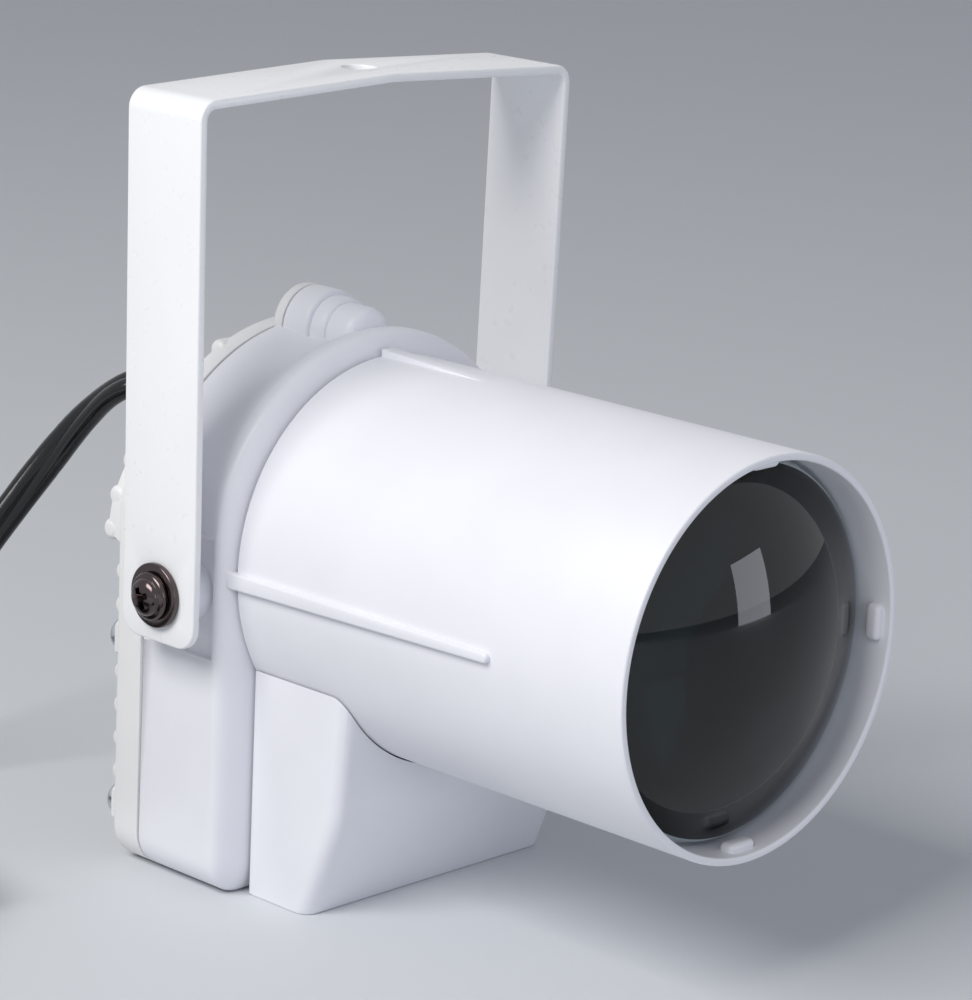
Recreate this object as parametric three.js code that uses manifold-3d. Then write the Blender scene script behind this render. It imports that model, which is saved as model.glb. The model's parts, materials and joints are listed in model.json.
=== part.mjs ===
// A small pinspot lamp: an arched plastic housing with a lens barrel, hung in a steel yoke.
// Millimetres. X points right seen from the front, the lens faces -Y, and Z points up.
// The origin is on the base face, straight below the tilt axis.
import * as THREE from 'three';
import { mergeVertices } from 'three/addons/utils/BufferGeometryUtils.js';
import Module from 'manifold-3d';

const wasm = await Module();
wasm.setup();

// Gaps and overruns
const seatGap = 0.3; // between a piece and what it sits on
const holeGap = 0.35; // round a shank in its hole
const overrun = 1; // how far a cutter runs past what it cuts
const overlap = 0.4; // how far joined bodies of one moulding run into each other

// Barrel
const axisHeight = 51.4;
const barrelRadius = 30;
const barrelWall = 1.2;
const barrelLength = 77.8;
const barrelEndWall = 1.6;
const rimRound = 0.4;

// Lens and its seat in the barrel mouth
const lensRecess = 5.9;
const lensGap = 0.8; // round the lens in the bore
const lensEdge = 2.4;
const lensCrown = 8.6;
const seatDepth = 1.8;
const seatShelf = 2.2;
const lugWidth = 6.4;
const lugReach = 1.5;
const lugLength = 2.6;
const lugLipShare = 0.35; // how much of its reach a lug keeps at its front edge

// Ribs along the barrel
const ribHeight = 1;
const ribWide = 2.6;
const ribNarrow = 1.5;
const sideRibLength = 53;
const topRibLength = 30;

// Driver box under the barrel
const boxInset = 4; // the box is this much narrower than the barrel on each side
const boxDepth = 20;
const boxFootDepth = 13.9;
const boxKinkDrop = 4.1; // below the barrel, where its front starts to slant back
const boxWall = 1.6;
const boxCorner = 2.4;

// Housing: a front shell and a rear cover of one outline
const pivotSetback = 8.2; // tilt axis behind the front seam
const pivotDrop = 3.5; // tilt axis below the barrel's axis
const shellDepth = 18.4;
const housingStep = 2; // the housing is this much wider than the barrel on each side
const archProud = 0.5; // the arch stands this far over the flat sides
const footCorner = 6;
const shellWall = 1.8;
const frontRound = 5.4; // how far the front edge's rounding runs inwards
const frontRoundDepth = 2.2;
const coveDepth = 0.8;
const coveSetback = 3.4;
const coveLength = 12;
const coveFoot = 5.9; // the cove stops this far above the barrel's axis
const padRise = 9.5; // above the pivots, just into the cove
const padDrop = 10.1; // below them
const padDepth = 0.8;
const padSetback = 2.5; // the recess starts this far behind the front seam
const coverDepth = 5.9;
const coverRound = 1;

// Fins and wedge on the rear cover
const finFoot = 8.9;
const finPitch = 5.38;
const finCount = 12;
const finRadius = 1.7;
const finProud = 1.3;
const finInset = 0.6; // from the cover's outline
const plainFins = 8; // the fins below the wedge
const finLift = 0.85; // the fins on the wedge sit this much higher than their pitch
const wedgeDrop = 0.2; // from the barrel's axis to the wedge's foot
const wedgeUndercut = 1.3; // from its foot to its proudest edge
const wedgeTopRise = 18.6; // its top above the barrel's axis
const wedgeProud = 3.1;

// Screw lug on top of the arch
const lugSink = 0.8; // its middle below the top of the arch
const lugRadius = 5.6;
const lugNoseRadius = 4.4;
const lugNoseSetback = 5; // behind the front seam
const lugSetback = 11;

// Openings through the front wall
const lightHoleInset = 8.6; // from the ring of the casing's screws
const spigotWall = 1.4;
const spigotLength = 1.4;
const wireSlotSide = 1.6; // between the wire slot and the screw bosses beside it
const wireSlotFoot = 4.4;
const wireSlotDrop = 6.1; // below the lamp's lower screw

// Self-tapping screws
const tapperShank = 1.3;
const tapperHead = 2.5;
const tapperHeadHeight = 1.9;
const tapperLength = 8;
const bossRadius = 3.1;
const coverScrewInset = 3.6; // from the housing's sides
const coverSeatProud = 1; // the four screw seats over the cover's back
const coverScrewHighFin = 5; // the fin that the upper pair interrupts
const casingScrewTurn = Math.PI / 4; // the upper pair, up from level round the barrel's axis
const casingScrewZ = 13; // the lower pair
const screwPadMargin = 1.1;
const domeShares = { edge: 0.4, reach: 0.6, slot: 0.25, depth: 0.5 }; // of a pan head's radius and height

// Heat sink and lamp
const sinkPlate = 3;
const sinkFinDepth = 9;
const sinkFinWall = 1.2;
const sinkFinPairs = 5;
const sinkFinStart = 9;
const sinkFinRim = 2.3; // from the last fins to the plate's edge
const sinkFinChordShare = 0.94;
const wireHoleX = 4;
const wireHoleDrop = 7.5; // below the barrel's axis
const wireHoleRadius = 1.5;
const ledBoardRadius = 10;
const ledBoardThickness = 1.6;
const ledBody = 5;
const ledBodyHeight = 0.9;
const ledDome = 1.8;

// Driver board and what stands on it
const boardSideGap = 2; // to the sides of the wire slot
const boardFront = 12.6; // ahead of the front seam
const boardBack = 16; // behind it
const boardThickness = 1.6;
const boardHeight = 6;
const postRadius = 2.3;
const postInset = 3;
const pegRadius = 1.1;
const pegProud = 1;
const transformerWidthShare = 7 / 15; // of the board's width
const transformerDepth = 11;
const transformerSetback = 6.5; // behind the board's front edge, at its middle
const windingShares = { width: 0.62, height: 0.6 }; // of the core's
const coreDepthShare = 0.55;
const inputCapRadiusShare = 0.24; // of half the board's width
const inputCapGap = 0.1; // to the lamp wire beside it
const inputCapSetback = 7; // behind the front seam
const outputCapRadiusShare = 0.18;
const outputCapGap = 1.2; // to the transformer
const outputCapLead = 3.4; // ahead of the front seam
const chipWidth = 5;
const chipDepth = 6.2;
const chipHeight = 1.7;
const chipGap = 0.7; // to the lamp wire beside it
const chipSetback = 7;
const driverShares = { transformer: 0.83, inputCap: 0.87, outputCap: 0.65 }; // of the height below the barrel

// Yoke, pivots and their screws
const yokeRise = 75.2; // pivot to the top face at the corners
const yokeCrown = 1.4;
const yokeSplay = 0.9; // each arm leans out by this at the top
const yokeThickness = 1.4;
const yokeWidth = 16;
const yokeBend = 3;
const yokeFoot = 7.4; // below the pivot
const yokeStraight = 10; // above the pivot
const yokeFootCorner = 3.5;
const hangHole = 2.6;
const bossOuterRadius = 4.8;
const pivotBossProud = 4.3; // over the housing's sides
const innerBossRadius = 6.2;
const nutFlats = 8;
const nutHeight = 4;
const washerRadius = 4.95;
const washerThickness = 1;
const pivotShank = 2.5;
const pivotHead = 4;
const pivotHeadHeight = 2.9;
const pivotGap = 0.1; // between the pieces stacked outside the yoke

// Wires inside
const wireRadius = 0.8;
const wireSides = 8;
const mainsWireX = 1.5;
const mainsWireSetback = 12.7; // behind the front seam
const lampWireSetback = 9.7;
const wireBend = 4;

// Mains cord, a flat twin flex that stands on its edge
const cordWidth = 5.4;
const cordThickness = 3.4;
const gripRise = 16.6; // above the barrel's axis
const gripNeck = 4;
const gripFlange = 5.6;
const gripFlangeThickness = 1.6;
const gripPadProud = 1.3; // the flat round the hole stands off the cover's back by this
const gripPadMargin = 0.9;
const gripCollar = 5;
const gripCollarThickness = 1.4;
const gripInside = 9.5; // from the flange to the inner end
const gripLength = 11.5; // from the flange's seat to the tip
const gripRings = 4;
const gripStartRadius = 4.4;
const gripEndRadius = 3.3;
const gripStep = 0.35; // how far each ring stands over the groove before it
const twistRun = 55; // the cord turns from flat to upright over this length
const coilCentre = new THREE.Vector2(-95, 35);
const coilRadius = 29.5; // at the middle of its turns
const coilTurns = 5.25;
const climbTurns = 0.5; // a climb from one layer to the next takes this
const turnGap = 0.55;
const layerGap = 0.6;
const tailLength = 59; // from the coil forwards to the plug
const tailShift = 15.8; // from the coil's outer turn in towards the lamp
const tailStraightShare = 0.3; // of the tail before it bends in and comes down
const tieWidth = 4;
const tieThickness = 0.5;
const tieTurn = -0.1; // where the tie sits, in turns round from the +X side
const tieCorner = 1.5;
const tieFloorGap = 0.1;

// Plug
const plugLength = 36;
const plugWidth = 35.3;
const plugThickness = 13.7;
const plugNoseWidth = 26;
const plugShoulder = 13; // from the pin face to the widest place
const plugBackWidth = 11;
const plugEdge = 2.4;
const plugNeckLength = 9;
const plugNeckRadius = 3.6;
const plugNeckTip = 3;
const pinRadius = 2;
const pinLength = 19;
const pinSpacing = 18.6;

// Mesh fineness, and two angles
const barrelSides = 56;
const archSteps = 32;
const cornerSteps = 3;
const roundSteps = 3;
const rodSides = 18;
const smallSides = 10;
const finSides = 10;
const domeSteps = 2;
const lensSteps = 5;
const wireSteps = 14;
const turnSteps = 24;
const hexSides = 6;
const mergeTolerance = 1e-4;
const quarter = Math.PI / 2;
const quarterDegrees = 90;
const fullTurn = 2 * Math.PI;

// Places worked out from the sizes above
const frontSeam = -pivotSetback;
const rearSeam = frontSeam + shellDepth;
const coverFront = rearSeam + seatGap;
const coverBack = coverFront + coverDepth;
const rim = frontSeam - barrelLength;
const boreRadius = barrelRadius - barrelWall;
const lensRadius = boreRadius - lensGap;
const housingHalfWidth = barrelRadius + housingStep;
const archRadius = housingHalfWidth + archProud;
const lugRise = archRadius - lugSink;
const boxHalfWidth = barrelRadius - boxInset;
const boxKink = axisHeight - barrelRadius - boxKinkDrop;
const pivotHeight = axisHeight - pivotDrop;
const yokeFootHalf = housingHalfWidth + pivotBossProud + seatGap + yokeThickness;
const yokeTopHalf = yokeFootHalf + yokeSplay;
const coverScrewX = housingHalfWidth - coverScrewInset;
const padTop = pivotHeight + padRise;
const padFoot = pivotHeight - padDrop;
const wedgeFoot = axisHeight - wedgeDrop;
const wedgeLip = wedgeFoot + wedgeUndercut;
const wedgeTop = axisHeight + wedgeTopRise;
const gripHeight = axisHeight + gripRise;
const wallBack = frontSeam + shellWall;
const tapperHole = tapperShank + holeGap;
const pivotHole = pivotShank + holeGap;
const lensEdgePlane = rim + lensRecess;
const lensBack = lensEdgePlane + lensEdge;
const casingBack = frontSeam - seatGap;
const casingScrewRing = boreRadius + overlap - bossRadius;
const lightHole = casingScrewRing - lightHoleInset;
const spigotRadius = lightHole - seatGap;
const casingScrewX = boxHalfWidth - boxWall + overlap - bossRadius;
const sinkScrewRing = lightHole + bossRadius - overlap;
const sinkRadius = casingScrewRing - tapperHead - seatGap;
const sinkFinPitch = (sinkRadius - sinkFinStart - sinkFinRim) / (sinkFinPairs - 1);
const wireSlotHalf = casingScrewX - bossRadius - wireSlotSide;
const wireSlotTop = axisHeight - sinkScrewRing - bossRadius - wireSlotDrop;
const boardHalfWidth = wireSlotHalf - boardSideGap;
const postX = boardHalfWidth - postInset;
const boardFrontEdge = frontSeam - boardFront;
const boardBackEdge = frontSeam + boardBack;
const boardTop = boardHeight + boardThickness;
const driverRoom = axisHeight - barrelRadius - boardTop;
const transformerWidth = 2 * boardHalfWidth * transformerWidthShare;
const inputCapRadius = boardHalfWidth * inputCapRadiusShare;
const outputCapRadius = boardHalfWidth * outputCapRadiusShare;
const inputCapX = wireHoleX + wireRadius + inputCapGap + inputCapRadius;
const outputCapX = transformerWidth / 2 + outputCapGap + outputCapRadius;
const chipX = -(wireHoleX + wireRadius + chipGap + chipWidth / 2);
const sinkFront = wallBack + seatGap;
const sinkBack = sinkFront + sinkPlate;
const ledFront = sinkFront - seatGap - ledBoardThickness;
const coverInner = coverBack - shellWall;
const gripSeat = coverBack + gripPadProud;
const coverSeat = coverBack + coverSeatProud;
const cordExit = gripSeat + seatGap + gripLength;
const layerPitch = cordWidth + layerGap;
const turnPitch = cordThickness + turnGap;
const nutCorner = nutFlats / 2 / Math.cos(Math.PI / hexSides);
const coilLift = tieThickness + seatGap + tieFloorGap;
const coilOuter = coilRadius + (turnPitch * coilTurns) / 4;
const coilInner = coilRadius - (turnPitch * coilTurns) / 4;

// Materials
const plastic = (color, roughness) => new THREE.MeshStandardMaterial({ color, roughness, metalness: 0 });
const metal = (color, roughness) => new THREE.MeshStandardMaterial({ color, roughness, metalness: 1 });
const whiteShell = plastic('#eef0f4', 0.45);
const whitePaint = plastic('#f4f5f7', 0.35);
const opticGlass = new THREE.MeshStandardMaterial({ color: '#1f2b2d', roughness: 0.04, metalness: 0 });
const aluminium = metal('#b9bcc0', 0.45);
const boardWhite = plastic('#e9e9e4', 0.5);
const phosphor = plastic('#e8c94a', 0.4);
const boardGreen = plastic('#2f6b45', 0.5);
const windingTape = plastic('#d9b43a', 0.5);
const sleeveBlack = plastic('#1c1c20', 0.4);
const zinc = metal('#c9cbce', 0.3);
const blackNickel = metal('#3a3434', 0.25);
const brass = metal('#c8a45a', 0.35);
const cordBlack = plastic('#141416', 0.3);
const wireColours = { live: plastic('#7a4a28', 0.4), neutral: plastic('#2f62b0', 0.4),
  positive: plastic('#b3261e', 0.4), negative: plastic('#1c1c20', 0.4) };

const lamp = new THREE.Group();

// A closed mesh as a solid that can be joined and cut
function solid(geometry) {
  const bare = new THREE.BufferGeometry();
  bare.setAttribute('position', geometry.getAttribute('position'));
  bare.setIndex(geometry.index);
  const merged = mergeVertices(bare, mergeTolerance);
  const corners = merged.index.array;
  const triVerts = [];
  for (let i = 0; i < corners.length; i += 3) {
    const [a, b, c] = corners.slice(i, i + 3);
    if (a !== b && b !== c && c !== a) triVerts.push(a, b, c);
  }
  const vertProperties = new Float32Array(merged.attributes.position.array);
  const mesh = new wasm.Mesh({ numProp: 3, vertProperties, triVerts: new Uint32Array(triVerts) });
  return new wasm.Manifold(mesh);
}

function addPiece(name, body, material) {
  const { vertProperties, triVerts, numProp } = body.getMesh();
  const geometry = new THREE.BufferGeometry();
  geometry.setAttribute('position', new THREE.BufferAttribute(vertProperties, numProp));
  geometry.setIndex(new THREE.BufferAttribute(triVerts, 1));
  geometry.computeVertexNormals();
  const mesh = new THREE.Mesh(geometry, material);
  mesh.name = name;
  lamp.add(mesh);
}

const joined = (bodies) => bodies.reduce((sum, body) => sum.add(body));
const cut = (body, cutters) => cutters.reduce((rest, cutter) => rest.subtract(cutter), body);
const point = (x, y) => new THREE.Vector2(x, y);

// Points along an arc, both ends included
function arc(centreX, centreY, radius, from, to, steps) {
  return Array.from({ length: steps + 1 }, (_, i) => {
    const angle = from + ((to - from) * i) / steps;
    return point(centreX + radius * Math.cos(angle), centreY + radius * Math.sin(angle));
  });
}

// A polygon of [x, y, radius] corners with its corners rounded
function rounded(corners) {
  return corners.flatMap(([x, y, radius], i) => {
    const here = point(x, y);
    if (!radius) return [here];
    const before = point(...corners.at(i - 1)).sub(here).normalize();
    const after = point(...corners[(i + 1) % corners.length]).sub(here).normalize();
    const half = Math.acos(before.dot(after)) / 2;
    const centre = before.clone().add(after).setLength(radius / Math.sin(half)).add(here);
    const reach = radius / Math.tan(half);
    const start = before.clone().multiplyScalar(reach).add(here).sub(centre).angle();
    const end = after.clone().multiplyScalar(reach).add(here).sub(centre).angle();
    const sweep = Math.atan2(Math.sin(end - start), Math.cos(end - start));
    return arc(centre.x, centre.y, radius, start, start + sweep, cornerSteps);
  });
}

const drawnOut = (points, depth) =>
  new THREE.ExtrudeGeometry(new THREE.Shape(points), { depth, bevelEnabled: false });

// A flat outline in X and Z, drawn out along Y
const alongY = (points, front, back) =>
  solid(drawnOut(points, back - front).rotateX(quarter).translate(0, back, 0));

// A flat outline in Y and Z, drawn out along X
const alongX = (points, left, right) =>
  solid(drawnOut(points, right - left).rotateX(quarter).rotateZ(quarter).translate(left, 0, 0));

// A flat outline in X and Y, drawn out along Z
const alongZ = (points, low, high) => solid(drawnOut(points, high - low).translate(0, 0, low));

const rod = (radius, length, sides) => new THREE.CylinderGeometry(radius, radius, length, sides);

const rodY = (radius, front, back, x, z, sides = rodSides) =>
  solid(rod(radius, back - front, sides).translate(x, (front + back) / 2, z));

const rodX = (radius, left, right, y, z, sides = rodSides) =>
  solid(rod(radius, right - left, sides).rotateZ(quarter).translate((left + right) / 2, y, z));

const rodZ = (radius, low, high, x, y, sides = rodSides) =>
  solid(rod(radius, high - low, sides).rotateX(quarter).translate(x, y, (low + high) / 2));

const block = (left, right, front, back, low, high) =>
  solid(new THREE.BoxGeometry(right - left, back - front, high - low)
    .translate((left + right) / 2, (front + back) / 2, (low + high) / 2));

// An outline of [radius, distance along Y] points, turned round the Y axis
function spun(outline, sides) {
  const points = outline.map(([radius, along]) => point(radius, along));
  const ordered = THREE.ShapeUtils.area(points) > 0 ? points : points.reverse();
  const meetsAxis = ordered[0].x === 0 && ordered.at(-1).x === 0;
  return new THREE.LatheGeometry(meetsAxis ? ordered : [...ordered, ordered[0]], sides);
}

const turnedY = (outline, x, z, sides) => solid(spun(outline, sides).translate(x, 0, z));

// The same, pointing outwards along X from the tilt axis, on one side of the lamp
const turnedX = (outline, side, sides) =>
  solid(spun(outline, sides).rotateZ(-side * quarter).translate(0, 0, pivotHeight));

// Rings of equal counts, each at its own level on Y, skinned into one closed shape
function skinned(rings) {
  const count = rings[0].points.length;
  const last = (rings.length - 1) * count;
  const places = rings.flatMap(({ level, points }) => points.flatMap(({ x, y }) => [x, level, y]));
  const ends = THREE.ShapeUtils.triangulateShape([...rings[0].points], []);
  const faces = ends.flatMap(([a, b, c]) => [a, b, c, last + a, last + c, last + b]);
  for (let corner = 0; corner < last; corner++) {
    const next = (corner + 1) % count ? corner + 1 : corner + 1 - count;
    faces.push(corner, corner + count, next + count, corner, next + count, next);
  }
  const geometry = new THREE.BufferGeometry();
  geometry.setAttribute('position', new THREE.Float32BufferAttribute(places, 3));
  geometry.setIndex(faces);
  return geometry;
}

// The housing's outline from the front, drawn in by an inset
function housingOutline(inset) {
  const side = housingHalfWidth - inset;
  const radius = archRadius - inset;
  const corner = footCorner - inset;
  const spring = Math.acos(side / radius);
  return [...arc(0, axisHeight, radius, spring, Math.PI - spring, archSteps),
    ...arc(corner - side, footCorner, corner, Math.PI, 3 * quarter, cornerSteps),
    ...arc(side - corner, footCorner, corner, 3 * quarter, fullTurn, cornerSteps)];
}

// Rings of the housing whose edge rounds over by a width and a depth towards a flat end
function roundedRings(flatEnd, openEnd, width, depth) {
  const towards = Math.sign(openEnd - flatEnd);
  const rings = Array.from({ length: roundSteps + 1 }, (_, i) => {
    const angle = (quarter * i) / roundSteps;
    const level = flatEnd + towards * depth * (1 - Math.cos(angle));
    return { level, points: housingOutline(width * (1 - Math.sin(angle))) };
  });
  rings.push({ level: openEnd, points: housingOutline(0) });
  return towards > 0 ? rings : rings.reverse();
}

const archRod = (radius, front, back) => rodY(radius, front, back, 0, axisHeight, barrelSides);

// A span on one side of the middle plane, from its lower to its higher end
const spanOn = (side, from, to) => [side * from, side * to].sort((a, b) => a - b);

// Where the small screws sit, as [x, z] on the back of the cover and inside the housing
const sides = [-1, 1];
const lugCentre = [0, axisHeight + lugRise];
const coverScrewPlaces = [finFoot, finFoot + coverScrewHighFin * finPitch].flatMap((z) =>
  sides.map((side) => [side * coverScrewX, z]));
const casingScrewHigh = arc(0, axisHeight, casingScrewRing, casingScrewTurn, Math.PI - casingScrewTurn, 1);
const casingScrewPlaces = [...casingScrewHigh.map(({ x, y }) => [x, y]),
  ...sides.map((side) => [side * casingScrewX, casingScrewZ])];
const sinkScrewPlaces = sides.map((side) => [0, axisHeight + side * sinkScrewRing]);

const rodsY = (radius, places, front, back, sideCount) =>
  places.map(([x, z]) => rodY(radius, front, back, x, z, sideCount));
const tapperHoles = (places, front, back) => rodsY(tapperHole, places, front, back, smallSides);
const screwBosses = (places, front, back) => rodsY(bossRadius, places, front, back, rodSides);

// A pan head's outline from its edge to its middle, as [radius, height]
function panHead(radius, seat, height) {
  const edge = seat + height * domeShares.edge;
  const dome = Array.from({ length: domeSteps + 1 }, (_, i) => {
    const angle = (quarter * i) / domeSteps;
    return [i < domeSteps ? radius * Math.cos(angle) : 0, edge + (seat + height - edge) * Math.sin(angle)];
  });
  return [[radius, seat], ...dome];
}

// A cross for a driver, cut down into a head that points along Y
function crossCutters(radius, top, height, x, z) {
  const reach = radius * domeShares.reach;
  const half = (radius * domeShares.slot) / 2;
  const floor = top - height * domeShares.depth;
  return [block(x - reach, x + reach, floor, top + overrun, z - half, z + half),
    block(x - half, x + half, floor, top + overrun, z - reach, z + reach)];
}

// How far the lens stands out at a radius, as part of a sphere through its edge and crown
function lensRise(radius) {
  const sphere = (lensRadius ** 2 + lensCrown ** 2) / (2 * lensCrown);
  return Math.sqrt(sphere ** 2 - radius ** 2) - (sphere - lensCrown);
}

// Front casing: barrel, lens seat, snap lugs and driver box in one moulding
function addBarrelCasing() {
  const seatFront = lensBack + seatGap;
  const shelf = boreRadius - seatShelf;
  const wallFront = casingBack - barrelEndWall;
  const barrel = turnedY([
    [boreRadius, rim + rimRound], [boreRadius + rimRound, rim], [barrelRadius - rimRound, rim],
    [barrelRadius, rim + rimRound], [barrelRadius, casingBack], [spigotRadius, casingBack],
    [spigotRadius, casingBack + spigotLength], [spigotRadius - spigotWall, casingBack + spigotLength],
    [spigotRadius - spigotWall, wallFront], [boreRadius, wallFront], [boreRadius, seatFront + seatDepth],
    [shelf, seatFront + seatDepth], [shelf, seatFront], [boreRadius, seatFront],
  ], 0, axisHeight, barrelSides);
  const box = driverBox(0, 0, casingBack).subtract(archRod(barrelRadius - overlap, rim, rearSeam));
  const boxRoom = driverBox(boxWall, boxWall, casingBack + overrun)
    .subtract(archRod(barrelRadius, rim, rearSeam));
  const bossFront = casingBack - tapperLength;
  const bosses = screwBosses([...casingScrewPlaces, ...sinkScrewPlaces], bossFront, casingBack - overlap);
  const shell = joined([barrel, box.subtract(boxRoom), ...bosses, ...snapLugs(), ...barrelRibs(),
    ...posts(boardFrontEdge + postInset, boxWall)]);
  const places = [...casingScrewPlaces, ...sinkScrewPlaces];
  const holes = tapperHoles(places, bossFront - overrun, casingBack + overrun);
  addPiece('barrel_casing', cut(shell, holes), whiteShell);
}

// The driver box's plan at each height, drawn in by an inset; its lower front slants back to the foot
function driverBox(inset, floor, back) {
  const half = boxHalfWidth - inset;
  const corner = boxCorner - inset;
  const ringAt = (level) => {
    const slant = (boxDepth - boxFootDepth) * Math.max(0, 1 - level / boxKink);
    const front = frontSeam - boxDepth + slant + inset;
    const points = [point(half, -back),
      ...arc(half - corner, -front - corner, corner, 0, quarter, cornerSteps),
      ...arc(corner - half, -front - corner, corner, quarter, Math.PI, cornerSteps),
      point(-half, -back)];
    return { level, points };
  };
  return solid(skinned([floor, boxKink, axisHeight].map(ringAt)).rotateX(quarter));
}

// Four lugs that the lens snaps in behind, at the quarters of the mouth
function snapLugs() {
  const tip = boreRadius - lugReach;
  const back = lensEdgePlane - lensRise(tip) - seatGap;
  const front = back - lugLength;
  const outline = [point(back, tip), point(back, boreRadius + overlap), point(front, boreRadius + overlap),
    point(front, boreRadius - lugReach * lugLipShare)];
  const lug = alongX(outline, -lugWidth / 2, lugWidth / 2);
  return [0, 1, 2, 3].map((turn) => lug.rotate([0, turn * quarterDegrees, 0]).translate([0, 0, axisHeight]));
}

// Ribs along both sides and the top of the barrel
function barrelRibs() {
  const tipMiddle = frontSeam - sideRibLength + ribNarrow / 2;
  const outline = [point(casingBack, axisHeight - ribWide / 2), point(casingBack, axisHeight + ribWide / 2),
    ...arc(tipMiddle, axisHeight, ribNarrow / 2, quarter, 3 * quarter, cornerSteps)];
  const root = barrelRadius - overlap;
  const crest = barrelRadius + ribHeight;
  const sideRibs = sides.map((side) => alongX(outline, ...spanOn(side, root, crest)));
  const topOutline = [point(casingBack, axisHeight + root), point(casingBack, axisHeight + crest),
    point(frontSeam - topRibLength, axisHeight + root)];
  const topRib = alongX(topOutline, -ribWide / 2, ribWide / 2);
  return [...sideRibs, topRib];
}

// The lens: flat behind, crowned in front
function addLens() {
  const crown = Array.from({ length: lensSteps + 1 }, (_, i) => {
    const radius = (lensRadius * i) / lensSteps;
    return [radius, lensEdgePlane - lensRise(radius)];
  });
  const outline = [...crown, [lensRadius, lensBack], [0, lensBack]];
  addPiece('lens', turnedY(outline, 0, axisHeight, barrelSides), opticGlass);
}

// Front shell of the housing, with its bosses, posts, recesses and openings
function addFrontShell() {
  const body = solid(skinned(roundedRings(frontSeam, rearSeam, frontRound, frontRoundDepth)));
  const room = alongY(housingOutline(shellWall), wallBack, rearSeam + overrun);
  const lug = [rodY(lugNoseRadius, frontSeam + lugNoseSetback, frontSeam + lugSetback, ...lugCentre),
    rodY(lugRadius, frontSeam + lugSetback, rearSeam, ...lugCentre)];
  const bossBack = coverInner - seatGap;
  const innerRoom = alongY(housingOutline(shellWall + seatGap), rearSeam - overlap, bossBack);
  const tips = screwBosses(coverScrewPlaces, rearSeam - overlap, bossBack)
    .map((tip) => tip.intersect(innerRoom));
  const bosses = screwBosses(coverScrewPlaces, wallBack - overlap, rearSeam);
  const slot = block(-wireSlotHalf, wireSlotHalf, frontSeam - overrun, wallBack + overrun,
    wireSlotFoot, wireSlotTop);
  const pocketed = cut(body, [room, ...sidePads(), archCove()]);
  const shell = joined([pocketed, ...lug, ...bosses, ...tips, ...pivotBosses(), ...ribRoots(),
    ...posts(boardBackEdge - postInset, shellWall)]);
  addPiece('front_shell', cut(shell, [archHole(), slot, ...pivotBores(),
    ...tapperHoles([...casingScrewPlaces, ...sinkScrewPlaces], frontSeam - overrun, wallBack + overrun),
    ...tapperHoles(coverScrewPlaces, rearSeam - tapperLength, bossBack + overrun),
    ...tapperHoles([lugCentre], rearSeam - tapperLength, rearSeam + overrun)]), whiteShell);
}

const archHole = () => archRod(lightHole, frontSeam - overrun, wallBack + overrun);

// Where the barrel's side ribs run on over the shell's rounded front edge
function ribRoots() {
  const high = axisHeight + ribWide / 2;
  const root = housingHalfWidth - frontRound - overlap;
  return sides.map((side) => block(...spanOn(side, root, barrelRadius + ribHeight), frontSeam,
    frontSeam + frontRoundDepth, high - ribWide, high));
}

// Shallow recesses in both sides, round the pivots
function sidePads() {
  const outline = [point(frontSeam + padSetback, padFoot), point(rearSeam + overrun, padFoot),
    point(rearSeam + overrun, padTop), point(frontSeam + padSetback, padTop)];
  const inner = housingHalfWidth - padDepth;
  return [alongX(outline, inner, archRadius + overrun), alongX(outline, -archRadius - overrun, -inner)];
}

// A shallow cove round the arch
function archCove() {
  const front = frontSeam + coveSetback;
  const middle = front + coveLength / 2;
  const dip = Array.from({ length: 2 * roundSteps + 1 }, (_, i) => {
    const angle = Math.PI * (1 - i / (2 * roundSteps));
    return [archRadius - coveDepth * Math.sin(angle), middle + (coveLength / 2) * Math.cos(angle)];
  });
  const outer = archRadius + overrun;
  const band = turnedY([...dip, [outer, front + coveLength], [outer, front]], 0, axisHeight, barrelSides);
  const above = axisHeight + coveFoot;
  return band.intersect(block(-outer, outer, frontSeam, rearSeam, above, above + outer));
}

// Round bosses at the tilt axis: an outer face for the yoke and an inner pocket for the nut
function pivotBosses() {
  const outerFace = yokeFootHalf - yokeThickness - seatGap;
  const padFloor = housingHalfWidth - padDepth - overlap;
  const innerWall = housingHalfWidth - shellWall;
  const innerFace = innerWall - nutHeight - seatGap;
  return sides.flatMap((side) => [rodX(bossOuterRadius, ...spanOn(side, padFloor, outerFace), 0, pivotHeight),
    rodX(innerBossRadius, ...spanOn(side, innerFace, padFloor), 0, pivotHeight)]);
}

function pivotBores() {
  const pocketEnd = housingHalfWidth - shellWall;
  const pocketStart = pocketEnd - nutHeight - seatGap - overrun;
  return sides.flatMap((side) => [rodX(pivotHole, ...spanOn(side, pocketStart, yokeTopHalf), 0, pivotHeight),
    rodX(nutCorner + seatGap, ...spanOn(side, pocketStart, pocketEnd), 0, pivotHeight, hexSides)]);
}

// Posts with pegs that carry the driver board
function posts(y, floor) {
  return sides.flatMap((side) => [
    rodZ(postRadius, floor - overlap, boardHeight - seatGap, side * postX, y, smallSides),
    rodZ(pegRadius, floor, boardTop + pegProud, side * postX, y, smallSides)]);
}

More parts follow.
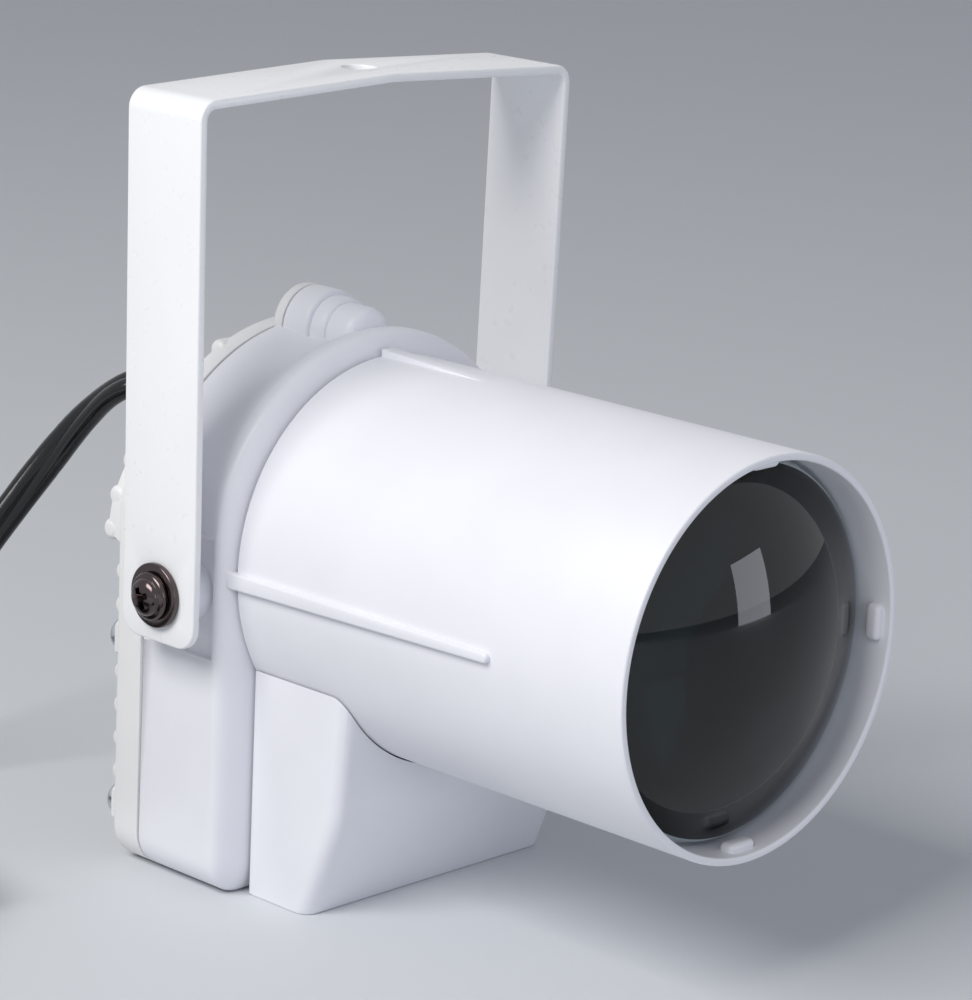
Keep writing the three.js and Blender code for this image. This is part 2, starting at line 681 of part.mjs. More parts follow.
// Rear cover, with its fins, wedge and screw seats
function addRearCover() {
  const body = solid(skinned(roundedRings(coverBack, coverFront, coverRound, coverRound)));
  const room = alongY(housingOutline(shellWall), coverFront - overrun, coverInner);
  const lug = rodY(lugRadius, coverFront, coverBack, ...lugCentre);
  const fieldEnd = coverBack + wedgeProud + finProud;
  const field = alongY(housingOutline(finInset), coverBack - overlap, fieldEnd);
  const seatRadius = tapperHead + screwPadMargin;
  const seats = rodsY(seatRadius, coverScrewPlaces, coverBack - overlap, coverSeat, rodSides);
  const relief = joined([wedge(), ...fins(), ...seats]).intersect(field);
  const padRadius = gripFlange + gripPadMargin;
  const gripPad = rodY(padRadius, coverBack - overlap, gripSeat, 0, gripHeight);
  const headRooms = rodsY(seatRadius, coverScrewPlaces, coverSeat, fieldEnd + overrun, rodSides);
  const cleared = cut(relief, [rodY(padRadius, gripSeat, fieldEnd + overrun, 0, gripHeight), ...headRooms]);
  const cover = joined([cut(body, [room]), lug, cleared, gripPad]);
  const gripHole = rodY(gripNeck + holeGap, coverInner - overrun, gripSeat + overrun, 0, gripHeight);
  const screwHoles = tapperHoles([...coverScrewPlaces, lugCentre], coverFront - overrun, coverSeat + overrun);
  addPiece('rear_cover', cut(cover, [gripHole, ...screwHoles]), whiteShell);
}

// How far the raised wedge stands off the cover's back at a height
function wedgeAt(height) {
  if (height < wedgeFoot || height > wedgeTop) return 0;
  const rising = (height - wedgeFoot) / (wedgeLip - wedgeFoot);
  const falling = (wedgeTop - height) / (wedgeTop - wedgeLip);
  return wedgeProud * Math.min(rising, falling);
}

function wedge() {
  const root = coverBack - overlap;
  const outline = [point(root, wedgeFoot), point(coverBack, wedgeFoot),
    point(coverBack + wedgeProud, wedgeLip), point(coverBack, wedgeTop), point(root, wedgeTop)];
  return alongX(outline, -housingHalfWidth, housingHalfWidth);
}

function fins() {
  return Array.from({ length: finCount }, (_, i) => {
    const height = finFoot + i * finPitch + (i < plainFins ? 0 : finLift);
    const middle = coverBack + wedgeAt(height) + finProud - finRadius;
    return rodX(finRadius, -housingHalfWidth, housingHalfWidth, middle, height, finSides);
  });
}

// Self-tapping screw with its head to the rear
function addTapper(name, [x, z], seat) {
  const foot = seat - tapperLength;
  const top = seat + seatGap + tapperHeadHeight;
  const tip = [[0, foot], [tapperShank / 2, foot], [tapperShank, foot + tapperShank]];
  const head = panHead(tapperHead, seat + seatGap, tapperHeadHeight);
  const body = turnedY([...tip, [tapperShank, seat + seatGap], ...head], x, z, smallSides);
  addPiece(name, cut(body, crossCutters(tapperHead, top, tapperHeadHeight, x, z)), zinc);
}

function addTappers() {
  coverScrewPlaces.forEach((place, i) => addTapper(`cover_screw_${i + 1}`, place, coverSeat));
  addTapper(`cover_screw_${coverScrewPlaces.length + 1}`, lugCentre, coverBack);
  casingScrewPlaces.forEach((place, i) => addTapper(`casing_screw_${i + 1}`, place, wallBack));
  sinkScrewPlaces.forEach((place, i) => addTapper(`sink_screw_${i + 1}`, place, sinkBack));
}

// Aluminium plate with fins, behind the front wall
function addHeatSink() {
  const plate = archRod(sinkRadius, sinkFront, sinkBack);
  const finPlates = Array.from({ length: sinkFinPairs }, (_, i) => {
    const x = sinkFinStart + i * sinkFinPitch;
    const half = Math.sqrt(sinkRadius ** 2 - (x + sinkFinWall) ** 2) * sinkFinChordShare;
    return sides.map((side) => block(side * x - sinkFinWall / 2, side * x + sinkFinWall / 2,
      sinkBack - overlap, sinkBack + sinkFinDepth, axisHeight - half, axisHeight + half));
  });
  const wirePlaces = sides.map((side) => [side * wireHoleX, axisHeight - wireHoleDrop]);
  const wireHoles = rodsY(wireHoleRadius, wirePlaces, sinkFront - overrun, sinkBack + overrun, smallSides);
  const screwHoles = tapperHoles(sinkScrewPlaces, sinkFront - overrun, sinkBack + overrun);
  const body = joined([plate, ...finPlates.flat()]);
  addPiece('heat_sink', cut(body, [...wireHoles, ...screwHoles]), aluminium);
}

// The lamp: a round board with one emitter under a clear dome
function addEmitter() {
  const board = rodY(ledBoardRadius, ledFront, ledFront + ledBoardThickness, 0, axisHeight, rodSides);
  addPiece('led_board', board, boardWhite);
  const back = ledFront - seatGap;
  const half = ledBody / 2;
  const body = block(-half, half, back - ledBodyHeight, back, axisHeight - half, axisHeight + half);
  const dome = Array.from({ length: roundSteps + 1 }, (_, i) => {
    const angle = (quarter * i) / roundSteps;
    return [i ? ledDome * Math.sin(angle) : 0, back - ledBodyHeight - ledDome * Math.cos(angle)];
  });
  const root = back - ledBodyHeight / 2;
  const cap = turnedY([...dome, [ledDome, root], [0, root]], 0, axisHeight, smallSides);
  addPiece('led_emitter', body.add(cap), phosphor);
}

// Driver board on its pegs, and what stands on it
function addDriver() {
  const board = block(-boardHalfWidth, boardHalfWidth, boardFrontEdge, boardBackEdge, boardHeight, boardTop);
  const pegRows = [boardFrontEdge + postInset, boardBackEdge - postInset];
  const pegHoles = pegRows.flatMap((y) => sides.map((side) =>
    rodZ(pegRadius + holeGap, boardHeight - overrun, boardTop + overrun, side * postX, y, smallSides)));
  addPiece('driver_board', cut(board, pegHoles), boardGreen);
  const floor = boardTop + seatGap;
  const middle = boardFrontEdge + transformerSetback;
  const transformerHeight = driverRoom * driverShares.transformer;
  const coreHalf = (transformerDepth * coreDepthShare) / 2;
  const core = block(-transformerWidth / 2, transformerWidth / 2, middle - coreHalf, middle + coreHalf,
    floor, floor + transformerHeight);
  const windingHalf = (transformerWidth * windingShares.width) / 2;
  const windingGap = (transformerHeight * (1 - windingShares.height)) / 2;
  const winding = block(-windingHalf, windingHalf, middle - transformerDepth / 2,
    middle + transformerDepth / 2, floor + windingGap, floor + transformerHeight - windingGap);
  addPiece('transformer', core.add(winding), windingTape);
  const inputY = frontSeam + inputCapSetback;
  const inputTop = floor + driverRoom * driverShares.inputCap;
  addPiece('input_capacitor', rodZ(inputCapRadius, floor, inputTop, inputCapX, inputY), sleeveBlack);
  const outputY = frontSeam - outputCapLead;
  const outputTop = floor + driverRoom * driverShares.outputCap;
  addPiece('output_capacitor', rodZ(outputCapRadius, floor, outputTop, outputCapX, outputY), sleeveBlack);
  const chipY = frontSeam + chipSetback;
  addPiece('driver_chip', block(chipX - chipWidth / 2, chipX + chipWidth / 2, chipY - chipDepth / 2,
    chipY + chipDepth / 2, floor, floor + chipHeight), sleeveBlack);
}

function addWire(name, places, material) {
  const path = new THREE.CatmullRomCurve3(places.map((place) => new THREE.Vector3(...place)));
  const section = new THREE.Shape(arc(0, 0, wireRadius, 0, fullTurn, wireSides).slice(1));
  const tube = new THREE.ExtrudeGeometry(section, { extrudePath: path, steps: wireSteps });
  addPiece(name, solid(tube), material);
}

// Mains wires from the strain relief to the board, and lamp wires from the board through the heat sink
function addWires() {
  const low = boardTop + seatGap;
  const high = gripSeat + seatGap - gripInside - seatGap;
  const run = frontSeam + mainsWireSetback;
  const mains = (x) => [[x, high, gripHeight], [x, high - wireBend / 2, gripHeight - wireBend / 4],
    [x, run, gripHeight - wireBend], [x, run, (gripHeight + low) / 2], [x, run, low + wireBend],
    [x, run, low]];
  addWire('live_wire', mains(-mainsWireX), wireColours.live);
  addWire('neutral_wire', mains(mainsWireX), wireColours.neutral);
  const lampRun = frontSeam + lampWireSetback;
  const top = axisHeight - wireHoleDrop;
  const lampPath = (x) => [[x, lampRun, low], [x, lampRun, low + wireBend], [x, lampRun, (low + top) / 2],
    [x, lampRun, top - wireBend], [x, lampRun - wireBend / 2, top], [x, sinkFront, top]];
  addWire('positive_wire', lampPath(wireHoleX), wireColours.positive);
  addWire('negative_wire', lampPath(-wireHoleX), wireColours.negative);
}

// The yoke's outline from the front, drawn in by an inset
function yokeOutline(inset, foot) {
  const low = yokeFootHalf - inset;
  const high = yokeTopHalf - inset;
  const top = pivotHeight + yokeRise - inset;
  const bend = yokeBend - inset;
  const straight = pivotHeight + yokeStraight;
  return rounded([[low, foot, 0], [low, straight, 0], [high, top, bend], [0, top + yokeCrown, 0],
    [-high, top, bend], [-low, straight, 0], [-low, foot, 0]]);
}

function addYoke() {
  const foot = pivotHeight - yokeFoot;
  const half = yokeWidth / 2;
  const peak = pivotHeight + yokeRise + yokeCrown + overrun;
  const reach = yokeTopHalf + overrun;
  const inside = alongY(yokeOutline(yokeThickness, foot - overrun), -half - overrun, half + overrun);
  const strip = alongY(yokeOutline(0, foot), -half, half).subtract(inside);
  const corner = yokeFootCorner;
  const profile = rounded([[-half, foot, corner], [half, foot, corner], [half, peak, 0], [-half, peak, 0]]);
  const trimmed = strip.intersect(alongX(profile, -reach, reach));
  const pivotHoles = rodX(pivotHole, -reach, reach, 0, pivotHeight);
  const hangingHole = rodZ(hangHole, pivotHeight + yokeStraight, peak, 0, 0);
  addPiece('yoke', cut(trimmed, [pivotHoles, hangingHole]), whitePaint);
}

// Washer, screw and nut on each side of the yoke
function addPivots() {
  const washerIn = yokeFootHalf + pivotGap;
  const washerOut = washerIn + washerThickness;
  const headSeat = washerOut + pivotGap;
  const nutOut = housingHalfWidth - shellWall - seatGap;
  const nutIn = nutOut - nutHeight + seatGap;
  const names = ['left', 'right'];
  sides.forEach((side, i) => {
    const washer = [[pivotHole, washerIn], [washerRadius, washerIn], [washerRadius, washerOut],
      [pivotHole, washerOut]];
    addPiece(`washer_${names[i]}`, turnedX(washer, side, rodSides), blackNickel);
    const head = panHead(pivotHead, headSeat, pivotHeadHeight);
    const screw = turnedX([[0, nutIn], [pivotShank, nutIn], [pivotShank, headSeat], ...head], side, rodSides);
    const top = headSeat + pivotHeadHeight;
    const reach = pivotHead * domeShares.reach;
    const half = (pivotHead * domeShares.slot) / 2;
    const floor = top - pivotHeadHeight * domeShares.depth;
    const span = spanOn(side, floor, top + overrun);
    const cross = [block(...span, -reach, reach, pivotHeight - half, pivotHeight + half),
      block(...span, -half, half, pivotHeight - reach, pivotHeight + reach)];
    addPiece(`pivot_screw_${names[i]}`, cut(screw, cross), blackNickel);
    const nut = rodX(nutCorner, ...spanOn(side, nutIn, nutOut), 0, pivotHeight, hexSides);
    const nutHole = rodX(pivotHole, ...spanOn(side, nutIn - overrun, nutOut + overrun), 0, pivotHeight);
    addPiece(`pivot_nut_${names[i]}`, nut.subtract(nutHole), brass);
  });
}

// Strain relief, moulded on the cord and snapped into the cover
function addStrainRelief() {
  const inner = coverInner - seatGap;
  const seat = gripSeat + seatGap;
  const sleeveStart = seat + gripFlangeThickness;
  const collar = inner - gripCollarThickness;
  const end = seat - gripInside;
  const outline = [[0, end], [gripEndRadius, end], [gripEndRadius, collar - gripStep], [gripNeck, collar],
    [gripCollar, inner], [gripNeck, inner], [gripNeck, seat], [gripFlange, seat],
    [gripFlange, sleeveStart - gripStep], [gripFlange - gripStep, sleeveStart]];
  const run = (cordExit - sleeveStart) / (2 * gripRings);
  for (let i = 0; i < gripRings; i++) {
    const radius = gripStartRadius + ((gripEndRadius - gripStartRadius) * i) / gripRings;
    const start = sleeveStart + 2 * i * run;
    const groove = radius - gripStep;
    outline.push([radius, start], [radius, start + run], [groove, start + run], [groove, start + 2 * run]);
  }
  addPiece('strain_relief', turnedY([...outline, [0, cordExit]], 0, gripHeight, rodSides), cordBlack);
}

// A path of chosen ring centres, with the way that it heads at its ends, and how flat the cord lies at each
class LaidCord extends THREE.Curve {
  constructor(centres, headings, flatness) {
    super();
    this.centres = centres;
    this.headings = headings;
    this.flatness = flatness;
  }

  getSpacedPoints() {
    return this.centres;
  }

  computeFrenetFrames() {
    const last = this.centres.length - 1;
    const frames = { tangents: [], normals: [], binormals: [] };
    this.centres.forEach((centre, i) => {
      const tangent = new THREE.Vector3();
      if (i === 0 || i === last) tangent.copy(this.headings[i && 1]);
      else tangent.subVectors(this.centres[i + 1], this.centres[i - 1]).normalize();
      const width = new THREE.Vector3(0, 0, 1).addScaledVector(tangent, -tangent.z).normalize();
      width.applyAxisAngle(tangent, this.flatness(i) * quarter);
      frames.tangents.push(tangent);
      frames.normals.push(new THREE.Vector3().crossVectors(width, tangent));
      frames.binormals.push(width);
    });
    return frames;
  }
}

// The flat cord's section, thickness across and width up, with bevelled corners
const cordSection = (cornerShares) => new THREE.Shape(cornerShares.map(([across, up]) =>
  point((across * cordThickness) / 2, (up * cordWidth) / 2)));
const fullSectionShares = [[1, -0.5], [1, 0.5], [0.5, 1], [-0.5, 1],
  [-1, 0.5], [-1, -0.5], [-0.5, -1], [0.5, -1]];
const coilSectionShares = [[1, -0.5], [1, 0.5], [0, 1], [-1, 0.5], [-1, -0.5], [0, -1]];

const backwards = new THREE.Vector3(0, 1, 0);
const leftwards = new THREE.Vector3(-1, 0, 0);
const forwards = new THREE.Vector3(0, -1, 0);

function cordBody(path, shares) {
  const steps = path.centres.length - 1;
  return solid(new THREE.ExtrudeGeometry(cordSection(shares), { extrudePath: path, steps }));
}

// The free stretch, from the strain relief down to the coil
const coilLow = coilLift + cordWidth / 2;
const coilStart = new THREE.Vector3(coilCentre.x + cordWidth, coilCentre.y + coilOuter, coilLow);
const freeRoute = [
  [0, cordExit + seatGap, gripHeight], [0, cordExit + seatGap + cordWidth, gripHeight], [-2, 40.6, 68],
  [-5.3, 45.8, 67], [-7.5, 52.3, 61.5], [-11.2, 57.8, 53.1], [-18, 62.1, 42.2], [-27, 65.5, 29.6],
  [-38.5, 67.9, 17.6], [-51, 69.2, 9.4], [-63, 69.6, 5], [-74, coilStart.y, coilLow],
  [coilStart.x + seatGap + cordWidth, coilStart.y, coilLow], [coilStart.x + seatGap, coilStart.y, coilLow],
];

function addFreeCord() {
  const route = new THREE.CatmullRomCurve3(freeRoute.map((place) => new THREE.Vector3(...place)));
  const length = route.getLength();
  const steps = Math.round(length / (2 * cordWidth));
  const pitch = (length - 2 * cordWidth) / (steps - 2);
  const places = [0, ...Array.from({ length: steps - 1 }, (_, i) => cordWidth + pitch * i), length];
  const centres = places.map((along) => route.getPointAt(along / length));
  const flatness = (i) => 1 - THREE.MathUtils.smoothstep(places[i], 0, twistRun);
  const path = new LaidCord(centres, [backwards, leftwards], flatness);
  addPiece('cord_free', cordBody(path, fullSectionShares), cordBlack);
  return length;
}

// The coil: in and out again at a steady rate, climbing a layer in the half turn where it reverses
function coilPlaces() {
  const count = Math.round(coilTurns * turnSteps);
  const places = Array.from({ length: count + 1 }, (_, i) => {
    const turns = i / turnSteps;
    const radius = coilOuter - turnPitch * Math.min(turns, coilTurns - turns);
    const climb = THREE.MathUtils.clamp((turns - coilTurns / 2) / climbTurns + 1 / 2, 0, 1);
    const angle = quarter + turns * fullTurn;
    const height = coilLow + (layerPitch * (1 - Math.cos(Math.PI * climb))) / 2;
    const { x, y } = point(radius, 0).rotateAround(point(0, 0), angle).add(coilCentre);
    return new THREE.Vector3(x, y, height);
  });
  return [coilStart, ...places, ...tailPlaces(places.at(-1))];
}

// The cord's tail, on from the coil, then in towards the lamp and down to the plug
const plugHeight = plugThickness / 2;
const plugX = coilCentre.x - coilOuter + tailShift;
const plugBack = coilCentre.y - tailLength - seatGap;
function tailPlaces(end) {
  const count = Math.round(tailLength / cordWidth);
  const tip = new THREE.Vector3(plugX, coilCentre.y - tailLength, plugHeight);
  return Array.from({ length: count }, (_, i) => {
    const share = (i + 1) / count;
    const bend = THREE.MathUtils.smoothstep(share, tailStraightShare, 1 - 1 / count);
    return end.clone().lerp(tip, bend).setY(end.y + (tip.y - end.y) * share);
  });
}

// The least distance between points of the coil that are half a turn or more apart along it
function leastCoilGap(path) {
  let least = Infinity;
  const { centres } = path;
  const { normals, binormals } = path.computeFrenetFrames();
  const outline = cordSection(coilSectionShares).getPoints();
  const rings = centres.map((centre, i) => outline.map(({ x, y }) =>
    centre.clone().addScaledVector(normals[i], x).addScaledVector(binormals[i], y)));
  for (let i = 0; i < rings.length; i++) {
    for (let j = i + turnSteps / 2; j < rings.length; j++) {
      if (centres[i].distanceTo(centres[j]) > 2 * layerPitch) continue;
      for (const a of rings[i]) for (const b of rings[j]) least = Math.min(least, a.distanceTo(b));
    }
  }
  return least;
}

function addCoil() {
  const centres = coilPlaces();
  const path = new LaidCord(centres, [leftwards, forwards], () => 0);
  addPiece('cord_coil', cordBody(path, coilSectionShares), cordBlack);
  const length = centres.slice(1).reduce((sum, centre, i) => sum + centre.distanceTo(centres[i]), 0);
  console.log(`coil: least gap to itself ${leastCoilGap(path).toFixed(2)} mm`);
  return length;
}

// A band round the turns
function addCoilTie() {
  const inner = coilInner - cordThickness / 2 - seatGap;
  const outer = coilOuter + cordThickness / 2 + seatGap;
  const low = coilLift - seatGap;
  const high = coilLift + cordWidth + layerPitch + seatGap;
  const ring = (grow) => {
    const corner = tieCorner + grow;
    return rounded([[inner - grow, low - grow, corner], [outer + grow, low - grow, corner],
      [outer + grow, high + grow, corner], [inner - grow, high + grow, corner]]);
  };
  const half = tieWidth / 2;
  const band = drawnOut(ring(tieThickness), tieWidth).rotateX(quarter).translate(0, half, 0);
  const bore = drawnOut(ring(0), tieWidth + 2 * overrun).rotateX(quarter).translate(0, half + overrun, 0);
  const place = (geometry) =>
    solid(geometry.rotateZ(tieTurn * fullTurn).translate(coilCentre.x, coilCentre.y, 0));
  addPiece('cord_tie', place(band).subtract(place(bore)), sleeveBlack);
}

// A plug with two round pins, at the end of the tail
function addPlug(x) {
  const neckFoot = plugBack - plugNeckLength;
  const face = neckFoot - plugLength;
  const outline = rounded([[x - plugNoseWidth / 2, face, plugEdge], [x + plugNoseWidth / 2, face, plugEdge],
    [x + plugWidth / 2, face + plugShoulder, plugEdge], [x + plugBackWidth / 2, neckFoot, plugEdge],
    [x - plugBackWidth / 2, neckFoot, plugEdge], [x - plugWidth / 2, face + plugShoulder, plugEdge]]);
  const neckRoot = neckFoot - overlap;
  const neckOutline = [[0, neckRoot], [plugNeckRadius, neckRoot], [plugNeckTip, plugBack], [0, plugBack]];
  const neck = turnedY(neckOutline, x, plugHeight, rodSides);
  const body = alongZ(outline, 0, plugThickness).add(neck);
  const pinPlaces = sides.map((side) => [x + (side * pinSpacing) / 2, plugHeight]);
  const pinHoles = rodsY(pinRadius + seatGap, pinPlaces, face - overrun, face + pinRadius, rodSides);
  addPiece('plug_body', cut(body, pinHoles), cordBlack);
  const root = face + pinRadius - seatGap;
  const tip = face - pinLength;
  const pinOutline = [[0, root], [pinRadius, root], [pinRadius, tip + pinRadius / 2],
    [pinRadius / 2, tip], [0, tip]];
  pinPlaces.forEach((place, i) => {
    addPiece(`plug_pin_${i + 1}`, turnedY(pinOutline, ...place, smallSides), zinc);
  });
}

addBarrelCasing();
addLens();
addFrontShell();
addRearCover();
addTappers();
addHeatSink();
addEmitter();
addDriver();
addWires();
addYoke();
addPivots();
addStrainRelief();
const freeLength = addFreeCord();
const coilLength = addCoil();
addCoilTie();
addPlug(plugX);
console.log(`cord: ${(freeLength + coilLength).toFixed(0)} mm from strain relief to plug`);

export default lamp;
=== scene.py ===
import json
import math

import bmesh
import bpy
from mathutils import Matrix, Vector


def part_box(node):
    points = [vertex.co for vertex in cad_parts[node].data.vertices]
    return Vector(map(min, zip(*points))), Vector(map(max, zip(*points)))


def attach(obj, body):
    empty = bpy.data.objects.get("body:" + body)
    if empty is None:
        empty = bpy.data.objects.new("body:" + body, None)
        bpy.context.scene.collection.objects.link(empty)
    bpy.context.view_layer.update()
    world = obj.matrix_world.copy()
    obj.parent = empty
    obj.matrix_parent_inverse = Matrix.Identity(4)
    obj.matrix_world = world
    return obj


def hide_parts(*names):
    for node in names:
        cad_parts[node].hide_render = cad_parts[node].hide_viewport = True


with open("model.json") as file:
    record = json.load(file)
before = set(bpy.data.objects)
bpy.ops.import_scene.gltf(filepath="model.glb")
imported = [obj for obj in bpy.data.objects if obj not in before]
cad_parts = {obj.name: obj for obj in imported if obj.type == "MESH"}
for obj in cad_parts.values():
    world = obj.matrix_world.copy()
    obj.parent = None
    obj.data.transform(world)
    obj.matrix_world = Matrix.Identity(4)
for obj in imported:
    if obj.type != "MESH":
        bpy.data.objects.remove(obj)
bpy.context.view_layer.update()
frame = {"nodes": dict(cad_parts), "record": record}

mm = 0.001

# Camera, where the photograph was taken from: left of the lens, a little above the barrel,
# and turned by a few degrees about its own line of sight.
camera_place = Vector((-393.7, -403.3, 203.5)) * mm
camera_turn = math.radians(-46.571)
camera_height = math.radians(14.520)
camera_roll = math.radians(2.626)
back = Vector((math.sin(camera_turn) * math.cos(camera_height),
               -math.cos(camera_turn) * math.cos(camera_height), math.sin(camera_height)))
right = Vector((math.cos(camera_turn), math.sin(camera_turn), 0))
upright = Matrix((right, back.cross(right), back)).transposed()
camera_lens = bpy.data.cameras.new("camera")
camera_lens.lens = 134.35
camera_lens.sensor_width = 36
camera = bpy.data.objects.new("camera", camera_lens)
camera.matrix_world = (Matrix.Translation(camera_place) @ upright.to_4x4()
                       @ Matrix.Rotation(camera_roll, 4, "Z"))
bpy.context.scene.collection.objects.link(camera)
bpy.context.scene.camera = camera

# Mains cord: a flat twin flex of glossy black PVC with a groove between its two cores, moulded
# into the strain relief. It falls to the table, and the rest is wound in a two-layer coil.
cord_width = 5.4 * mm
cord_thickness = 3.4 * mm
cord_route = [Vector(place) * mm for place in (
    (0, 28.8, 68), (0, 35.2, 68), (-2, 40.6, 68), (-5.3, 45.8, 67), (-7.5, 52.3, 61.5),
    (-11.2, 57.8, 53.1), (-18, 62.1, 42.2), (-27, 65.5, 29.6), (-38.5, 67.9, 17.6), (-51, 69.2, 9.4),
    (-63, 69.6, 5), (-74, 69.684, 3.6), (-83.9, 69.684, 3.6), (-89.3, 69.684, 3.6))]
coil_centre = Vector((-95, 35, 3.6)) * mm
coil_outer = 34.684 * mm
coil_turns = 5.25
turn_pitch = 3.95 * mm
layer_pitch = 6 * mm
tail_length = 59 * mm
tail_shift = 15.8 * mm
tail_bend = (0.3, 0.9)
plug_height = 6.85 * mm
flat_after = 55 * mm


def smooth_step(value, low, high):
    share = min(max((value - low) / (high - low), 0), 1)
    return share * share * (3 - 2 * share)


def along_route(points, steps):
    """Places on a smooth curve through the points, with this many steps between two of them."""
    places = []
    for i in range(len(points) - 1):
        start, end = points[i], points[i + 1]
        before, after = points[max(i - 1, 0)], points[min(i + 2, len(points) - 1)]
        reach = (end - start).length
        leave = (end - before) * reach / ((end - start).length + (start - before).length)
        arrive = (after - start) * reach / ((after - end).length + (end - start).length)
        for step in range(steps):
            t = step / steps
            places.append(start * (2 * t**3 - 3 * t**2 + 1) + leave * (t**3 - 2 * t**2 + t)
                          + end * (3 * t**2 - 2 * t**3) + arrive * (t**3 - t**2))
    return places + [points[-1]]


def coil_place(turns):
    """A place in the coil, which winds inwards, climbs a layer in half a turn and winds out again."""
    radius = coil_outer - turn_pitch * min(turns, coil_turns - turns)
    climb = min(max((turns - coil_turns / 2) * 2 + 0.5, 0), 1)
    angle = math.pi / 2 + 2 * math.pi * turns
    height = layer_pitch * (1 - math.cos(math.pi * climb)) / 2
    return coil_centre + Vector((radius * math.cos(angle), radius * math.sin(angle), height))


def tail_place(share):
    """A place on the tail, which swings over from the coil to the plug."""
    bend = smooth_step(share, *tail_bend)
    return tail_start + Vector((tail_shift * bend, -tail_length * share,
                                (plug_height - tail_start.z) * bend))


free_steps = 6
turn_steps = 36
tail_steps = 18
free_places = along_route(cord_route, free_steps)
coil_places = [coil_place(i / turn_steps) for i in range(round(coil_turns * turn_steps) + 1)]
tail_start = coil_places[-1]
tail_places = [tail_place((i + 1) / tail_steps) for i in range(tail_steps)]
cord_places = free_places + coil_places + tail_places

# Two round cores side by side, each drawn from the groove round to the other groove.
core_steps = 12
core_offset = (cord_width - cord_thickness) / 2
core_radius = cord_thickness / 2
meeting = math.acos(-core_offset / core_radius)
core_angles = [-meeting + 2 * meeting * i / core_steps for i in range(core_steps)]
cord_section = [Vector((core_offset + core_radius * math.cos(a), core_radius * math.sin(a)))
                for a in core_angles]
cord_section += [-point for point in cord_section]

# The cord leaves the strain relief with its flat side upright and then turns to lie flat.
cord_shape = bmesh.new()
travelled = 0
rings = []
for i, place in enumerate(cord_places):
    ahead = cord_places[min(i + 1, len(cord_places) - 1)] - cord_places[max(i - 1, 0)]
    if i:
        travelled += (place - cord_places[i - 1]).length
    ahead.normalize()
    width = (Vector((0, 0, 1)) - ahead * ahead.z).normalized()
    flatness = 1 - smooth_step(travelled, 0, flat_after)
    width.rotate(Matrix.Rotation(flatness * math.pi / 2, 3, ahead))
    across = width.cross(ahead)
    rings.append([cord_shape.verts.new(place + width * p.x + across * p.y) for p in cord_section])
for before, after in zip(rings, rings[1:]):
    for i, corner in enumerate(before):
        j = (i + 1) % len(before)
        cord_shape.faces.new((corner, before[j], after[j], after[i]))
cord_shape.faces.new(rings[0][::-1])
cord_shape.faces.new(rings[-1])
bmesh.ops.recalc_face_normals(cord_shape, faces=cord_shape.faces)


def linear(colour):
    """An sRGB hex colour as the linear values that a node reads."""
    parts = [int(colour[i:i + 2], 16) / 255 for i in (1, 3, 5)]
    return [p / 12.92 if p <= 0.04045 else ((p + 0.055) / 1.055) ** 2.4 for p in parts] + [1]


def add_node(owner, kind, links, **settings):
    """Adds a node; links gives each input socket a value or another node's output."""
    node = owner.node_tree.nodes.new(kind)
    for name, value in settings.items():
        setattr(node, name, value)
    for name, value in links.items():
        if isinstance(value, bpy.types.NodeSocket):
            owner.node_tree.links.new(value, node.inputs[name])
        else:
            node.inputs[name].default_value = value
    return node


def add_finish(name, **sockets):
    """A material whose shader has these constant sockets, ready for its pattern."""
    material = bpy.data.materials.new(name)
    material.use_nodes = True
    shader = material.node_tree.nodes["Principled BSDF"]
    for socket, value in sockets.items():
        shader.inputs[socket.replace("_", " ")].default_value = value
    return material


drift_size = 18 * mm
drift_stops = (0.35, 0.65)


def add_grain(material, size, depth, tones, roughness):
    """Gives a finish a fine relief of that grain size and depth, and slow drifts of tone and gloss."""
    shader = material.node_tree.nodes["Principled BSDF"]
    link = material.node_tree.links.new
    place = add_node(material, "ShaderNodeTexCoord", {}).outputs["Object"]
    fine = add_node(material, "ShaderNodeTexNoise", {"Vector": place, "Scale": 1 / size, "Detail": 3.0})
    relief = add_node(material, "ShaderNodeBump", {"Height": fine.outputs["Fac"], "Distance": depth})
    link(relief.outputs["Normal"], shader.inputs["Normal"])
    drift = add_node(material, "ShaderNodeTexNoise", {
        "Vector": place, "Scale": 1 / drift_size, "Detail": 2.0})
    ramp = add_node(material, "ShaderNodeValToRGB", {"Fac": drift.outputs["Fac"]})
    for stop, position, tone in zip(ramp.color_ramp.elements, drift_stops, tones):
        stop.position = position
        stop.color = linear(tone)
    link(ramp.outputs["Color"], shader.inputs["Base Color"])
    gloss = add_node(material, "ShaderNodeMapRange", {
        "Value": fine.outputs["Fac"], "To Min": roughness[0], "To Max": roughness[1]})
    link(gloss.outputs["Result"], shader.inputs["Roughness"])
    return material


crease = math.radians(34)


def settle(shape, name, materials, slot, *nodes, body="housing"):
    """Makes a piece of the shape that rides on its body in the place of its CAD nodes."""
    shape.normal_update()
    for face in shape.faces:
        face.smooth = True
    for edge in shape.edges:
        edge.smooth = len(edge.link_faces) == 2 and edge.calc_face_angle(0) < crease
    mesh = bpy.data.meshes.new(name)
    shape.to_mesh(mesh)
    shape.free()
    for material in materials:
        mesh.materials.append(material)
    piece = bpy.data.objects.new(name, mesh)
    bpy.context.scene.collection.objects.link(piece)
    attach(piece, body)
    if nodes:
        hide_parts(*nodes)
    return piece


# Soft PVC, extruded: deep black, wet gloss, with a faint drag of the die along it.
cord_pvc = add_grain(add_finish("extruded_black_pvc", IOR=1.53), 2 * mm, 0.01 * mm,
                     ("#08080a", "#0d0d10"), (0.12, 0.2))
cord = settle(cord_shape, "mains_cord", [cord_pvc], "cord_sheath", "cord_free", "cord_coil")

